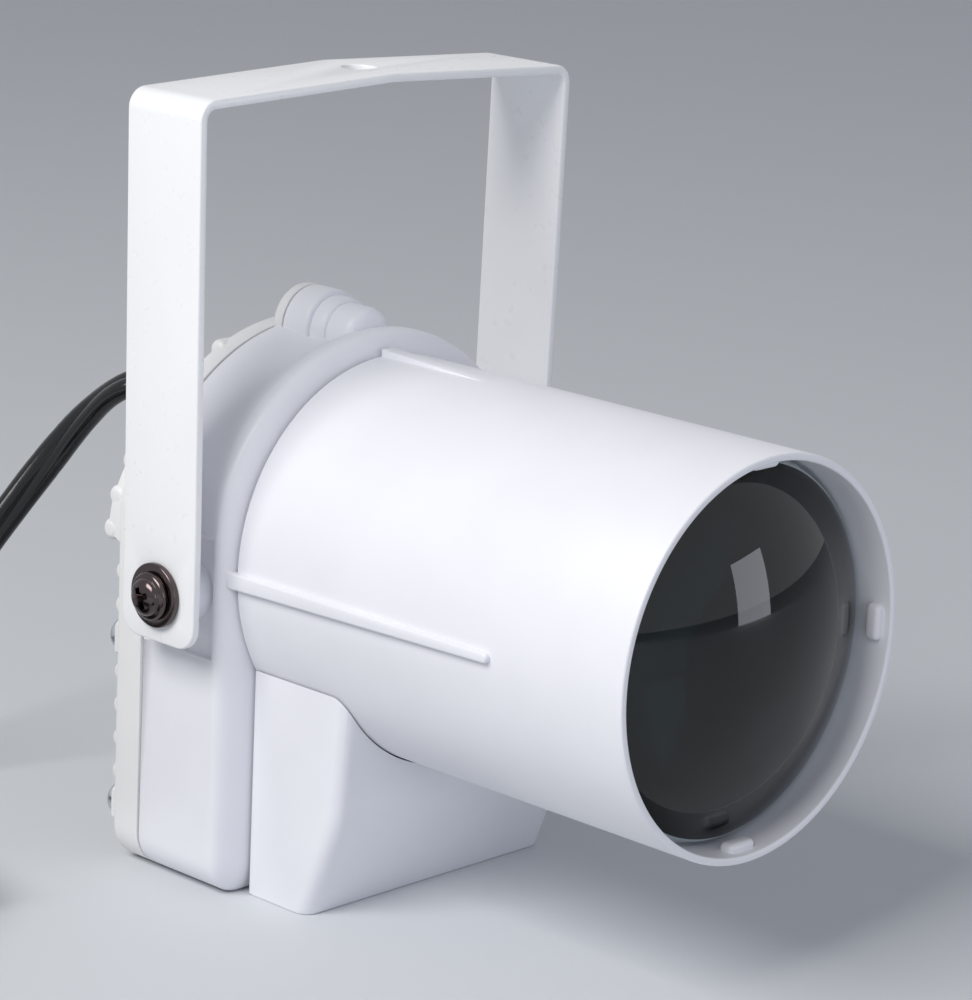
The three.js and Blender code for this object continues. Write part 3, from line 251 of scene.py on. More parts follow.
# Barrel casing: one white moulding of ABS with the lens barrel, its ribs, four snap catches in
# the mouth and the driver box underneath. Four self-tapping screws hold it to the housing.
lens_low, lens_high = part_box("lens")
axis_height = (lens_low.z + lens_high.z) / 2
front_seam = -8.2 * mm
seam_gap = 0.3 * mm
casing_back = front_seam - seam_gap
barrel_radius = 30 * mm
barrel_bore = 28.8 * mm
rim = front_seam - 77.8 * mm
lens_edge = rim + 5.9 * mm
lens_back = lens_edge + 2.4 * mm
lens_radius = 28 * mm
lens_crown = 8.6 * mm
on_axis = 1e-6


def rounded_corners(shape, corners, points, segments):
    """Rounds those corners of a flat outline whose point has a rounding as its third number."""
    roundings = [point[2] if len(point) > 2 else 0 for point in points]
    for rounding in sorted(set(roundings) - {0}):
        alike = [corner for corner, value in zip(corners, roundings) if value == rounding]
        bmesh.ops.bevel(shape, geom=alike, offset=rounding, segments=segments, profile=0.5,
                        affect="VERTICES", material=-1)


def turned(points, steps=96):
    """A body turned round the Y axis from (radius, place, rounding) corners, the rounding optional."""
    shape = bmesh.new()
    corners = [shape.verts.new((point[0], point[1], 0)) for point in points]
    shape.faces.new(corners)
    rounded_corners(shape, corners, points, 4)
    bmesh.ops.delete(shape, geom=shape.faces[:], context="FACES_ONLY")
    inner = [edge for edge in shape.edges if all(v.co.x < on_axis for v in edge.verts)]
    bmesh.ops.delete(shape, geom=inner, context="EDGES")
    bmesh.ops.spin(shape, geom=shape.verts[:] + shape.edges[:], cent=(0, 0, 0), axis=(0, 1, 0),
                   angle=2 * math.pi, steps=steps, use_merge=True)
    bmesh.ops.remove_doubles(shape, verts=shape.verts, dist=on_axis)
    bmesh.ops.recalc_face_normals(shape, faces=shape.faces)
    return shape


def peg(radius, start, end, steps, start_round=0, end_round=0):
    """A round body on the Y axis, from its start to its end."""
    return turned([(0, start), (radius, start, start_round), (radius, end, end_round), (0, end)], steps)


def moved(shape, x=0, y=0, z=0):
    bmesh.ops.translate(shape, verts=shape.verts, vec=(x, y, z))
    return shape


def rotated(shape, angle, axis):
    bmesh.ops.rotate(shape, verts=shape.verts, cent=(0, 0, 0), matrix=Matrix.Rotation(angle, 3, axis))
    return shape


def softened(shape, edges, width, segments):
    """The shape with these edges rounded by a width."""
    bmesh.ops.bevel(shape, geom=edges, offset=width, segments=segments, profile=0.5, affect="EDGES",
                    clamp_overlap=True, material=-1)
    return shape


def extruded(shape, run):
    """The shape's flat outline drawn out along a vector to a closed body."""
    drawn = bmesh.ops.extrude_face_region(shape, geom=shape.faces[:])["geom"]
    ends = [item for item in drawn if isinstance(item, bmesh.types.BMVert)]
    bmesh.ops.translate(shape, verts=ends, vec=run)
    bmesh.ops.recalc_face_normals(shape, faces=shape.faces)
    return shape


def drawn_along_x(points, left, right_end, soft=0):
    """A flat outline of (y, z, rounding) corners drawn out along X, its long edges softened."""
    shape = bmesh.new()
    corners = [shape.verts.new((left, point[0], point[1])) for point in points]
    shape.faces.new(corners)
    rounded_corners(shape, corners, points, 5)
    extruded(shape, (right_end - left, 0, 0))
    if soft:
        softened(shape, [edge for edge in shape.edges if edge.calc_face_angle(0) > crease], soft, 3)
    return shape


def gathered(*shapes):
    """Several bodies of one moulding in one mesh."""
    whole = bmesh.new()
    for shape in shapes:
        mesh = bpy.data.meshes.new("part")
        shape.to_mesh(mesh)
        shape.free()
        whole.from_mesh(mesh)
        bpy.data.meshes.remove(mesh)
    return whole


def carved(body, tool, operation="DIFFERENCE"):
    """The body cut by the tool, kept inside it or joined to it."""
    objects = []
    for shape in (body, tool):
        mesh = bpy.data.meshes.new("carving")
        shape.to_mesh(mesh)
        shape.free()
        objects.append(bpy.data.objects.new("carving", mesh))
        bpy.context.scene.collection.objects.link(objects[-1])
    cut = objects[0].modifiers.new("cut", "BOOLEAN")
    cut.object = objects[1]
    cut.operation = operation
    cut.solver = "EXACT"
    result = bmesh.new()
    result.from_object(objects[0], bpy.context.evaluated_depsgraph_get())
    for piece in objects:
        bpy.data.meshes.remove(piece.data)
    bmesh.ops.remove_doubles(result, verts=result.verts, dist=on_axis)
    if not result.faces:
        raise ValueError("a cut left nothing of its body")
    return result


spigot = 17.2 * mm
spigot_wall = 1.4 * mm
spigot_length = 1.4 * mm
back_wall = 1.6 * mm
ledge_depth = 2.2 * mm
ledge_front = lens_back + 0.3 * mm
ledge_back = lens_back + 2.1 * mm
rim_round = 0.35 * mm
barrel_back_round = 0.5 * mm
barrel = moved(turned([
    (barrel_bore, rim, rim_round), (barrel_radius, rim, rim_round),
    (barrel_radius, casing_back, barrel_back_round), (spigot, casing_back),
    (spigot, casing_back + spigot_length), (spigot - spigot_wall, casing_back + spigot_length),
    (spigot - spigot_wall, casing_back - back_wall), (barrel_bore, casing_back - back_wall),
    (barrel_bore, ledge_back), (barrel_bore - ledge_depth, ledge_back),
    (barrel_bore - ledge_depth, ledge_front), (barrel_bore, ledge_front),
], 160), z=axis_height)

# The driver box leans forward to a kink and back to its foot, and its top follows the barrel.
box_front = front_seam - 20.5 * mm
box_bend = front_seam - 19 * mm
box_foot = front_seam - 13.4 * mm
box_half = 26 * mm
box_kink = 15.4 * mm
box_top = 40 * mm
box_wall = 1.6 * mm
kink_round = 2.5 * mm
upright_round = 2.4 * mm
back_rim_round = mm
foot_round = 0.7 * mm
barrel_joint = 0.22 * mm
box = drawn_along_x([(casing_back, 0), (casing_back, box_top), (box_front, box_top),
                     (box_bend, box_kink, kink_round), (box_foot, 0)], -box_half, box_half)
uprights = [edge for edge in box.edges if all(v.co.y < casing_back - mm for v in edge.verts)
            and abs(edge.verts[0].co.x - edge.verts[1].co.x) < on_axis
            and abs(edge.verts[0].co.z - edge.verts[1].co.z) > 0.1 * mm]
softened(box, uprights, upright_round, 6)
back_rim = [edge for edge in box.edges if all(v.co.y > casing_back - on_axis for v in edge.verts)
            and any(v.co.z < box_top - on_axis for v in edge.verts)]
softened(box, back_rim, back_rim_round, 5)
foot_edges = [edge for edge in box.edges if all(v.co.z < on_axis for v in edge.verts)
              and not all(v.co.y > casing_back - on_axis for v in edge.verts)]
softened(box, foot_edges, foot_round, 3)
box_room = drawn_along_x([(casing_back + mm, box_wall), (casing_back + mm, box_top + mm),
                          (box_front + box_wall, box_top + mm), (box_bend + box_wall, box_kink),
                          (box_foot + box_wall, box_wall)], -box_half + box_wall, box_half - box_wall)
box = carved(box, box_room)
box = carved(box, moved(peg(barrel_radius + barrel_joint, rim, 0, 144), z=axis_height))

rib_tip = front_seam - 53 * mm
rib_root = front_seam + 1.6 * mm
rib_wide = 1.3 * mm
rib_narrow = 0.75 * mm
rib_lean = 0.8 * mm
rib_sink = 0.6 * mm
rib_proud = mm
rib_tip_round = 0.7 * mm
rib_round = 0.35 * mm
top_rib_tip = front_seam - 30 * mm
top_rib_root = axis_height + barrel_radius - rib_sink
top_rib_height = 1.6 * mm
top_rib_low = 0.2 * mm
top_rib_round = 0.2 * mm
ribs = []
for side in (-1, 1):
    ends = sorted((side * (barrel_radius - rib_sink), side * (barrel_radius + rib_proud)))
    ribs.append(drawn_along_x([
        (rib_root, axis_height - rib_wide - rib_lean), (rib_root, axis_height + rib_wide - rib_lean),
        (rib_tip, axis_height + rib_narrow, rib_tip_round),
        (rib_tip, axis_height - rib_narrow, rib_tip_round),
    ], *ends, soft=rib_round))
ribs.append(drawn_along_x([
    (casing_back, top_rib_root), (casing_back, top_rib_root + top_rib_height),
    (top_rib_tip, top_rib_root + top_rib_low), (top_rib_tip, top_rib_root),
], -rib_wide, rib_wide, soft=top_rib_round))

lens_sphere = (lens_radius**2 + lens_crown**2) / (2 * lens_crown)


def lens_rise(radius):
    """How far the lens stands in front of its edge, at a radius."""
    return math.sqrt(lens_sphere**2 - radius**2) - (lens_sphere - lens_crown)


catch_tip = barrel_bore - 1.3 * mm
catch_root = barrel_bore + 0.6 * mm
catch_back = lens_edge - lens_rise(catch_tip) - 1.5 * mm
catch_front = catch_back - 2.6 * mm
catch_half = 2.7 * mm
catch_round = 0.85 * mm
catches = []
for turn in range(4):
    catch = drawn_along_x([(catch_back, catch_tip), (catch_back, catch_root), (catch_front, catch_root),
                           (catch_front, catch_tip)], -catch_half, catch_half)
    free_edges = [edge for edge in catch.edges if any(v.co.z < barrel_bore for v in edge.verts)]
    softened(catch, free_edges, catch_round, 6)
    catches.append(moved(rotated(catch, turn * math.pi / 2, "Y"), z=axis_height))

# Satin ABS: cool white, its mould lightly spark-eroded, with faint drifts of gloss.
white_abs = add_grain(add_finish("satin_white_abs", IOR=1.53), 0.7 * mm, 0.006 * mm,
                      ("#eaebf1", "#edeef4"), (0.34, 0.42))
settle(gathered(barrel, box, *ribs, *catches), "barrel_moulding", [white_abs], "white_shell",
       "barrel_casing")

# Lens: one thick crowned piece of clear glass, flat behind, with a ground edge. It is pressed in
# from the front past the four catches. Behind it the lamp is off, so it looks dark with a teal cast.
crown_steps = 36
chamfer = 0.45 * mm
chamfer_end = lens_edge + 0.2 * mm
lens_back_round = 0.25 * mm
crown_radii = [lens_radius * i / crown_steps for i in range(crown_steps - 1)] + [lens_radius - chamfer]
crown = [(radius, lens_edge - lens_rise(radius)) for radius in crown_radii]
lens = turned([*crown, (lens_radius, chamfer_end), (lens_radius, lens_back, lens_back_round),
               (0, lens_back)], 144)
for face in lens.faces:
    middle = face.calc_center_median()
    face.material_index = int(math.hypot(middle.x, middle.z) > lens_radius - chamfer)
# Polished and coated optical glass: sharp, weakened reflections. Its nearly black teal colour is painted
# shade, standing in for the unlit inside of the lamp behind the clear glass.
glass_painted_shade = add_finish("polished_optic_glass", IOR=1.52, Roughness=0.015, Transmission_Weight=1.0,
                        Specular_IOR_Level=0.32, Base_Color=linear("#0c1b1d"))
# The edge is ground, not polished, so it scatters light in a pale thin ring.
ground_edge = add_grain(add_finish("ground_glass_edge", IOR=1.52), 0.3 * mm, 0.01 * mm,
                        ("#a9b6b8", "#b9c4c6"), (0.4, 0.55))
settle(moved(lens, z=axis_height), "crowned_lens", [glass_painted_shade, ground_edge], "lens_glass", "lens")

# Front shell: the arched front half of the housing, the same white ABS, with a raised rim and a
# shallow cove round its arch, a recess and a boss for the yoke on each side, and a stepped lug on
# top for the fifth screw.
shell_back = front_seam + 18.4 * mm
shell_half = 32 * mm
arch_radius = 32.5 * mm
arch_steps = 72
foot_corner = 6 * mm
wall = 1.8 * mm
along_y = Vector((0, 1, 0))
along_z = Vector((0, 0, 1))


def housing_block(front_y, back_y, inset=0):
    """A block with the housing's outline, from one Y to another."""
    radius = arch_radius - inset
    half = shell_half - inset
    start = math.acos(half / radius)
    shape = bmesh.new()
    arch = [shape.verts.new((radius * math.cos(a), front_y, axis_height + radius * math.sin(a)))
            for a in (start + (math.pi - 2 * start) * i / arch_steps for i in range(arch_steps + 1))]
    feet = [shape.verts.new((side * half, front_y, inset)) for side in (-1, 1)]
    shape.faces.new(arch + feet)
    bmesh.ops.bevel(shape, geom=feet, offset=foot_corner - inset, segments=8, profile=0.5,
                    affect="VERTICES", material=-1)
    return extruded(shape, (0, back_y - front_y, 0))


def sliced(shape, places, axis):
    """Cuts new edge loops across the shape at places along an axis."""
    for place in places:
        bmesh.ops.bisect_plane(shape, geom=shape.verts[:] + shape.edges[:] + shape.faces[:],
                               plane_co=axis * place, plane_no=axis)
    return shape


def rounded_end(shape, level, width, depth, steps):
    """Rounds the flat end at a level on Y over by a width and a depth, as a quarter of an ellipse."""
    shape.normal_update()
    cap = [face for face in shape.faces if abs(face.normal.y) > 0.9
           and all(abs(v.co.y - level) < on_axis for v in face.verts)]
    for i in range(steps):
        here = math.pi / 2 * i / steps
        there = math.pi / 2 * (i + 1) / steps
        bmesh.ops.inset_region(shape, faces=cap, thickness=width * (math.cos(here) - math.cos(there)),
                               depth=depth * (math.sin(there) - math.sin(here)),
                               use_boundary=True, use_even_offset=True)


seam_round = 0.45 * mm


def soften_seam(shape, level):
    """Rounds the rim of the flat face at a level on Y, where the housing's halves meet."""
    flat = {face for face in shape.faces if all(abs(v.co.y - level) < on_axis for v in face.verts)}
    rims = [edge for edge in shape.edges if sum(face in flat for face in edge.link_faces) == 1]
    softened(shape, rims, seam_round, 3)


front_round = 5.4 * mm
front_round_depth = 2.2 * mm
cove_front = front_seam + 3.4 * mm
cove_length = 12 * mm
cove_depth = 0.8 * mm
cove_foot = axis_height + 5.5 * mm
cove_rows = 10
rim_rise = mm
rim_inner = 26.5 * mm
rim_fade = 4.5 * mm
rim_foot_fade = 8 * mm
pad_front = front_seam + 2.5 * mm
pad_low = 37.8 * mm
pad_high = 56.4 * mm
pad_depth = 0.8 * mm
pad_slope = 0.12 * mm
skin_reach = 0.1 * mm
block_front = front_seam + front_round_depth
shell = housing_block(block_front, shell_back)
rounded_end(shell, block_front, front_round, front_round_depth, 8)
cove_places = [cove_front + cove_length * i / cove_rows for i in range(cove_rows + 1)]
sliced(shell, cove_places + [pad_front, pad_front + pad_slope], along_y)
sliced(shell, [pad_low, pad_low + pad_slope, pad_high - pad_slope, pad_high, cove_foot], along_z)
for vertex in shell.verts:
    share = (vertex.co.y - cove_front) / cove_length
    away = Vector((vertex.co.x, 0, vertex.co.z - axis_height))
    on_skin = away.length > arch_radius - skin_reach or abs(vertex.co.x) > shell_half - skin_reach
    raised = (rim_rise * smooth_step(away.length, rim_inner, arch_radius)
              * smooth_step(-vertex.co.y, -cove_front - rim_fade, -cove_front)
              * smooth_step(vertex.co.z, cove_foot, cove_foot + rim_foot_fade))
    if on_skin and 0 < share < 1 and vertex.co.z > cove_foot + on_axis:
        raised -= cove_depth * math.sin(math.pi * share)
    vertex.co += away.normalized() * raised
    in_pad = pad_low + pad_slope / 2 < vertex.co.z < pad_high - pad_slope / 2
    if in_pad and on_skin and vertex.co.y > pad_front + pad_slope / 2:
        vertex.co.x -= math.copysign(pad_depth, vertex.co.x)
soften_seam(shell, shell_back)
shell = carved(shell, housing_block(front_seam + wall, shell_back + mm, wall))
spigot_hole = peg(spigot + seam_gap, front_seam - mm, front_seam + wall + mm, 96)
shell = carved(shell, moved(spigot_hole, z=axis_height))

tilt_height = 47.9 * mm
boss_root = 27 * mm
boss_end = 36.3 * mm
boss_radius = 4.8 * mm
boss_round = 0.5 * mm
bosses = []
for side in (-1, 1):
    boss = peg(boss_radius, boss_root, boss_end, 64, end_round=boss_round)
    bosses.append(moved(rotated(boss, -side * math.pi / 2, "Z"), z=tilt_height))
lug_height = axis_height + 31.9 * mm
lug_radius = 6.1 * mm
lug_seam = 8.6 * mm
lug_back = 11.1 * mm
lug_round = 0.3 * mm
lug_steps = [(lug_radius, 3.3 * mm, lug_seam, 0.7 * mm), (5.3 * mm, 0.4 * mm, 5 * mm, 0.8 * mm),
             (4.6 * mm, -4.6 * mm, 2 * mm, 1.4 * mm)]
top_lug = [moved(peg(radius, front, end, 56, front_rounding, lug_round), z=lug_height)
           for radius, front, end, front_rounding in lug_steps]
settle(gathered(shell, *bosses, *top_lug), "front_shell_moulding", [white_abs], "white_shell",
       "front_shell")

# Rear cover: the other half of the housing, a slightly warmer batch of the same ABS, with fourteen
# cooling fins, a raised wedge and a pad for the cord's strain relief. Five screws hold it.
cover_front = shell_back + seam_gap
cover_back = cover_front + 5.9 * mm
cover_round = mm
slope_depth = 1.9 * mm
slope_rows = [level * mm for level in range(67, 79)]


def slope_at(height):
    """How much thinner the cover gets towards the top of the arch."""
    return slope_depth * smooth_step(height, slope_rows[0], slope_rows[-1])


def sloped(shape):
    """Leans the shape's back forward towards the top of the arch."""
    sliced(shape, slope_rows, along_z)
    for vertex in shape.verts:
        if vertex.co.y > cover_front + mm:
            vertex.co.y -= slope_at(vertex.co.z)
    return shape


cover = housing_block(cover_back - cover_round, cover_front)
rounded_end(cover, cover_back - cover_round, cover_round, cover_round, 6)
sloped(cover)
soften_seam(cover, cover_front)
cover = carved(cover, sloped(housing_block(cover_front - mm, cover_back - wall, wall)))

fin_count = 14
plain_fins = 8
fin_radius = 1.7 * mm
fin_round = 0.55 * fin_radius
fin_proud = 1.3 * mm
fin_foot = 8.9 * mm
fin_pitch = 5.38 * mm
fin_lift = 0.85 * mm
fin_inset = 0.6 * mm
seat_inset = fin_inset + 0.15 * mm
sink = 0.4 * mm
screw_x = 28.4 * mm
screw_seat = 3.6 * mm
screw_fins = (0, 5)
seat_proud = mm
grip_height = 68 * mm
grip_pad = 6.5 * mm
grip_seat = cover_back + 1.3 * mm
wedge_foot = 51.2 * mm
wedge_lip = 52.5 * mm
wedge_top = 70 * mm
wedge_proud = 3.1 * mm
wedge_round = 0.6 * mm
seat_round = 0.3 * mm
lug_gap = 0.25 * mm
lug_back_round = 0.9 * mm


def wedge_at(height):
    """How far the wedge stands out of the cover's back at a height."""
    if not wedge_foot < height < wedge_top:
        return 0
    return wedge_proud * min((height - wedge_foot) / (wedge_lip - wedge_foot),
                             (wedge_top - height) / (wedge_top - wedge_lip))


def cover_half(height):
    """Half the width of the finned field at a height."""
    above = max(height - axis_height, 0)
    return min(shell_half - fin_inset, math.sqrt((arch_radius - fin_inset) ** 2 - above**2))


def fin(left, right_end, height):
    """A half-round fin with rounded ends, sunk into the cover's back."""
    bar = bmesh.new()
    bmesh.ops.create_cone(bar, cap_ends=True, segments=20, radius1=fin_radius, radius2=fin_radius,
                          depth=right_end - left)
    ends = [edge for edge in bar.edges if abs(edge.verts[0].co.z - edge.verts[1].co.z) < on_axis]
    softened(bar, ends, fin_round, 5)
    rise = wedge_at(height) - slope_at(height) + fin_proud - fin_radius
    return moved(rotated(bar, math.pi / 2, "Y"), (left + right_end) / 2, cover_back + rise, height)


fins = []
for i in range(fin_count):
    height = fin_foot + i * fin_pitch + (fin_lift if i >= plain_fins else 0)
    reach = screw_x - screw_seat if i in screw_fins else cover_half(height)
    clear = math.sqrt(max(grip_pad**2 - (height - grip_height) ** 2, 0))
    if clear:
        fins += [fin(-reach, -clear, height), fin(clear, reach, height)]
    else:
        fins.append(fin(-reach, reach, height))

wedge = drawn_along_x([(cover_back - sink, wedge_foot), (cover_back, wedge_foot),
                       (cover_back + wedge_proud, wedge_lip, wedge_round), (cover_back, wedge_top),
                       (cover_back - sink, wedge_top)], -shell_half, shell_half)
wedge_field = housing_block(cover_back - mm, cover_back + 2 * wedge_proud, seat_inset)
wedge = carved(wedge, wedge_field, "INTERSECT")
wedge = carved(wedge, moved(peg(grip_pad, grip_seat, grip_seat + wedge_proud, 64), z=grip_height))
pad = moved(peg(grip_pad, cover_back - wall, grip_seat, 64, end_round=seat_round), z=grip_height)
cover_lug = moved(peg(lug_radius, lug_seam + lug_gap, lug_back, 56, lug_round, lug_back_round),
                  z=lug_height)
screw_places = [(side * screw_x, fin_foot + row * fin_pitch) for row in screw_fins for side in (-1, 1)]
seats = []
for x, z in screw_places:
    seat = peg(screw_seat, cover_back - sink, cover_back + seat_proud, 48, end_round=seat_round)
    seat_field = housing_block(cover_back - mm, cover_back + 2 * mm, seat_inset)
    seats.append(carved(moved(seat, x=x, z=z), seat_field, "INTERSECT"))
# The same ABS from another batch: a touch warmer and flatter than the shell.
cover_abs = add_grain(add_finish("warm_white_abs", IOR=1.53), 0.7 * mm, 0.008 * mm,
                      ("#e4e4e4", "#e9e9ea"), (0.42, 0.5))
settle(gathered(cover, wedge, pad, cover_lug, *seats, *fins), "rear_cover_moulding", [cover_abs],
       "white_shell", "rear_cover")

# Self-tapping screws: zinc-plated pan heads with a cross recess, driven from the rear into the
# front shell's bosses. The fifth goes through the lug on top.
cover_head = 2.6 * mm
cover_head_rise = 2 * mm
cover_shank = 1.3 * mm
cover_screw_seat = cover_back + 0.3 * mm
cover_screw_tip = cover_back - 8 * mm
first_turn = 0.4
further_turn = 1.1


def cross_tool(reach, slot, top, floor):
    """Two crossed bars and a cone that taper towards the floor of a driver's recess."""
    tool = turned([(0, floor), (0.2 * reach, floor), (0.6 * reach, top), (0, top)], 24)
    for quarter in (0, 1):
        bar = bmesh.new()
        bmesh.ops.create_cube(bar, size=1)
        bmesh.ops.scale(bar, verts=bar.verts, vec=(2 * reach, top - floor, slot))
        bmesh.ops.scale(bar, verts=[v for v in bar.verts if v.co.y < 0], vec=(0.5, 1, 0.6))
        rotated(bar, quarter * math.pi / 2, "Y")
        tool = carved(tool, moved(bar, y=(top + floor) / 2), "UNION")
    return tool


def pan_screw(head, height, shank, seat, tip, turn):
    """A pan-head screw that points along -Y: its head on the seat, its shank down to the tip."""
    dome_steps = 8
    lip = 0.38 * height
    angles = [math.pi / 2 * i / dome_steps for i in range(dome_steps)]
    dome = [(head * math.cos(a), seat + lip + (height - lip) * math.sin(a)) for a in angles]
    body = turned([(0, tip), (0.5 * shank, tip), (shank, tip + shank), (shank, seat),
                   (head, seat, 0.1 * head), *dome, (0, seat + height)], 56)
    tool = cross_tool(0.6 * head, 0.26 * head, seat + height + 0.4 * head, seat + 0.42 * height)
    return carved(body, rotated(tool, turn, "Y"))


# Bright zinc plate on steel: clean, cool, with the faint swirl that tumbling leaves.
zinc = add_grain(add_finish("bright_zinc_plate", Metallic=1.0), 0.4 * mm, 0.01 * mm,
                 ("#c9cdd2", "#d6d9dc"), (0.22, 0.34))
for i, (x, z) in enumerate([*screw_places, (0, lug_height)]):
    rise = seat_proud if i < len(screw_places) else lug_back - cover_back
    screw = pan_screw(cover_head, cover_head_rise, cover_shank, cover_screw_seat, cover_screw_tip,
                      first_turn + further_turn * i)
    settle(moved(screw, x, rise, z), f"cover_pan_screw_{i + 1}", [zinc], "zinc_steel",
           f"cover_screw_{i + 1}")

# Yoke: a strip of mild steel, 16 by 1.4 mm, bent to a square arch with a slight peak, drilled at
# both feet and in the middle of its bar, and powder-coated white all over.
strip = 1.4 * mm
strip_half = 8 * mm
yoke_foot = 7.4 * mm
yoke_foot_round = 3.5 * mm
bend = 3 * mm
arm_half = 38 * mm
top_half = 38.9 * mm
straight = tilt_height + 10 * mm
corner_height = tilt_height + 75.2 * mm
peak = 1.4 * mm
pivot_bore = 2.85 * mm
pivot_reach = 45 * mm
hang_bore = 2.6 * mm
hang_reach = 6 * mm
strip_crease = math.radians(50)
strip_round = 0.3 * mm
yoke = bmesh.new()
outline = []
for inset in (0, strip):
    outline.append([(-arm_half + inset, tilt_height - yoke_foot), (-arm_half + inset, straight),
                    (-top_half + inset, corner_height - inset), (0, corner_height + peak - inset),
                    (top_half - inset, corner_height - inset), (arm_half - inset, straight),
                    (arm_half - inset, tilt_height - yoke_foot)])
corners = [yoke.verts.new((x, -strip_half, z)) for x, z in outline[0] + outline[1][::-1]]
yoke.faces.new(corners)
for rounding, picks in ((bend, (2, 4)), (bend - strip, (9, 11))):
    bmesh.ops.bevel(yoke, geom=[corners[pick] for pick in picks], offset=rounding, segments=10, profile=0.5,
                    affect="VERTICES", material=-1)
extruded(yoke, (0, 2 * strip_half, 0))
foot_corners = [edge for edge in yoke.edges
                if all(v.co.z < tilt_height - yoke_foot + on_axis for v in edge.verts)
                and abs(edge.verts[0].co.x - edge.verts[1].co.x) > mm / 2]
softened(yoke, foot_corners, yoke_foot_round, 8)
pivot_holes = rotated(peg(pivot_bore, -pivot_reach, pivot_reach, 48), math.pi / 2, "Z")
yoke = carved(yoke, moved(pivot_holes, z=tilt_height))
hang_hole = rotated(peg(hang_bore, -hang_reach, hang_reach, 64), math.pi / 2, "X")
yoke = carved(yoke, moved(hang_hole, z=corner_height))
yoke.normal_update()
sharp = [edge for edge in yoke.edges if edge.calc_face_angle(0) > strip_crease]
softened(yoke, sharp, strip_round, 3)
# Powder coat: glossy bright white with a fine orange peel.
powder_coat = add_grain(add_finish("white_powder_coat", IOR=1.5), 2.4 * mm, 0.002 * mm,
                        ("#f1f2f4", "#f3f4f6"), (0.26, 0.3))
settle(yoke, "bent_yoke", [powder_coat], "yoke_paint", "yoke", body="yoke")

# Pivots: a black-nickel washer and pan-head screw on each side hold the yoke to the housing's
# bosses, and stay where they are tightened. The washers turn with the yoke.
washer_in = 38.1 * mm
washer_out = 39.1 * mm
washer_radius = 4.95 * mm
pivot_tip = 26 * mm
pivot_shank = 2.5 * mm
pivot_lead = 0.3 * mm
lead_length = 0.4 * mm
head_seat = 39.2 * mm
pivot_head = 3.75 * mm
head_edge = 0.05 * mm
head_round = 0.25 * mm
flange_side = head_seat + 0.45 * mm
flange_top = head_seat + 0.95 * mm
pivot_button = 2.85 * mm
button_foot = head_seat + 1.15 * mm
button_rise = 2.5 * mm
button_steps = 8
button_angles = [math.pi / 2 * i / button_steps for i in range(1, button_steps)]
button = [(pivot_button * math.cos(a), head_seat + button_rise * (1 + math.sin(a)) / 2)
          for a in button_angles]
recess_reach = 2 * mm
recess_slot = 1.1 * mm
recess_top = head_seat + 3 * mm
recess_floor = head_seat + 0.8 * mm
recess_turn = 0.45
# Black nickel: a thin dark plate with a warm brown cast over bright steel.
black_nickel = add_grain(add_finish("black_nickel_plate", Metallic=1.0), 0.5 * mm, 0.004 * mm,
                         ("#51484a", "#645a59"), (0.12, 0.19))
for side, name in ((-1, "left"), (1, "right")):
    outwards = -side * math.pi / 2
    washer = turned([(pivot_bore, washer_in, 0.1 * mm), (washer_radius, washer_in, 0.2 * mm),
                     (washer_radius, washer_out, 0.3 * mm), (pivot_bore, washer_out, 0.2 * mm)], 72)
    settle(moved(rotated(washer, outwards, "Z"), z=tilt_height), f"plain_washer_{name}", [black_nickel],
           "black_nickel", f"washer_{name}", body="yoke")
    screw = turned([
        (0, pivot_tip), (pivot_shank - pivot_lead, pivot_tip), (pivot_shank, pivot_tip + lead_length),
        (pivot_shank, head_seat), (pivot_head - 2 * head_edge, head_seat, head_edge),
        (pivot_head, flange_side, head_round), (pivot_head - head_round, flange_top, head_round),
        (pivot_button, button_foot, head_edge), *button, (0, head_seat + button_rise)], 64)
    recess = cross_tool(recess_reach, recess_slot, recess_top, recess_floor)
    screw = carved(screw, rotated(recess, recess_turn, "Y"))
    settle(moved(rotated(screw, outwards, "Z"), z=tilt_height), f"machine_screw_{name}", [black_nickel],
           "black_nickel", f"pivot_screw_{name}")

# Strain relief: black PVC moulded on the cord, snapped into the cover, with a flange outside and
# a tapered sleeve whose rings let it bend.
relief_seat = grip_seat + 0.3 * mm
relief_root = relief_seat - 9.5 * mm
cover_inner = cover_back - wall - 0.3 * mm
barb_foot = cover_inner - 1.75 * mm
barb_start = cover_inner - 1.4 * mm
root_radius = 3.3 * mm
snap_radius = 4 * mm
barb_radius = 5 * mm
flange_radius = 5.6 * mm
flange_seat_round = 0.2 * mm
flange_round = 0.5 * mm
sleeve_start = relief_seat + 1.6 * mm
sleeve_end = 29.5 * mm
sleeve_rings = 4
sleeve_radius = 4.4 * mm
sleeve_taper = 1.1 * mm
sleeve_groove = 0.35 * mm
ring_round = 0.15 * mm


def ringed(start, run, radii, depth):
    """The profile of a sleeve that bends in the grooves between its rings, of one run each."""
    profile = []
    for i, radius in enumerate(radii):
        ring = start + 2 * i * run
        profile += [(radius, ring, ring_round), (radius, ring + run, ring_round),
                    (radius - depth, ring + run, ring_round), (radius - depth, ring + 2 * run, ring_round)]
    return profile


relief = turned([
    (0, relief_root), (root_radius, relief_root), (root_radius, barb_foot),
    (snap_radius, barb_start), (barb_radius, cover_inner), (snap_radius, cover_inner),
    (snap_radius, relief_seat), (flange_radius, relief_seat, flange_seat_round),
    (flange_radius, sleeve_start, flange_round),
    *ringed(sleeve_start, (sleeve_end - sleeve_start) / (2 * sleeve_rings),
            [sleeve_radius - sleeve_taper * i / sleeve_rings for i in range(sleeve_rings)],
            sleeve_groove),
    (0, sleeve_end)], 64)
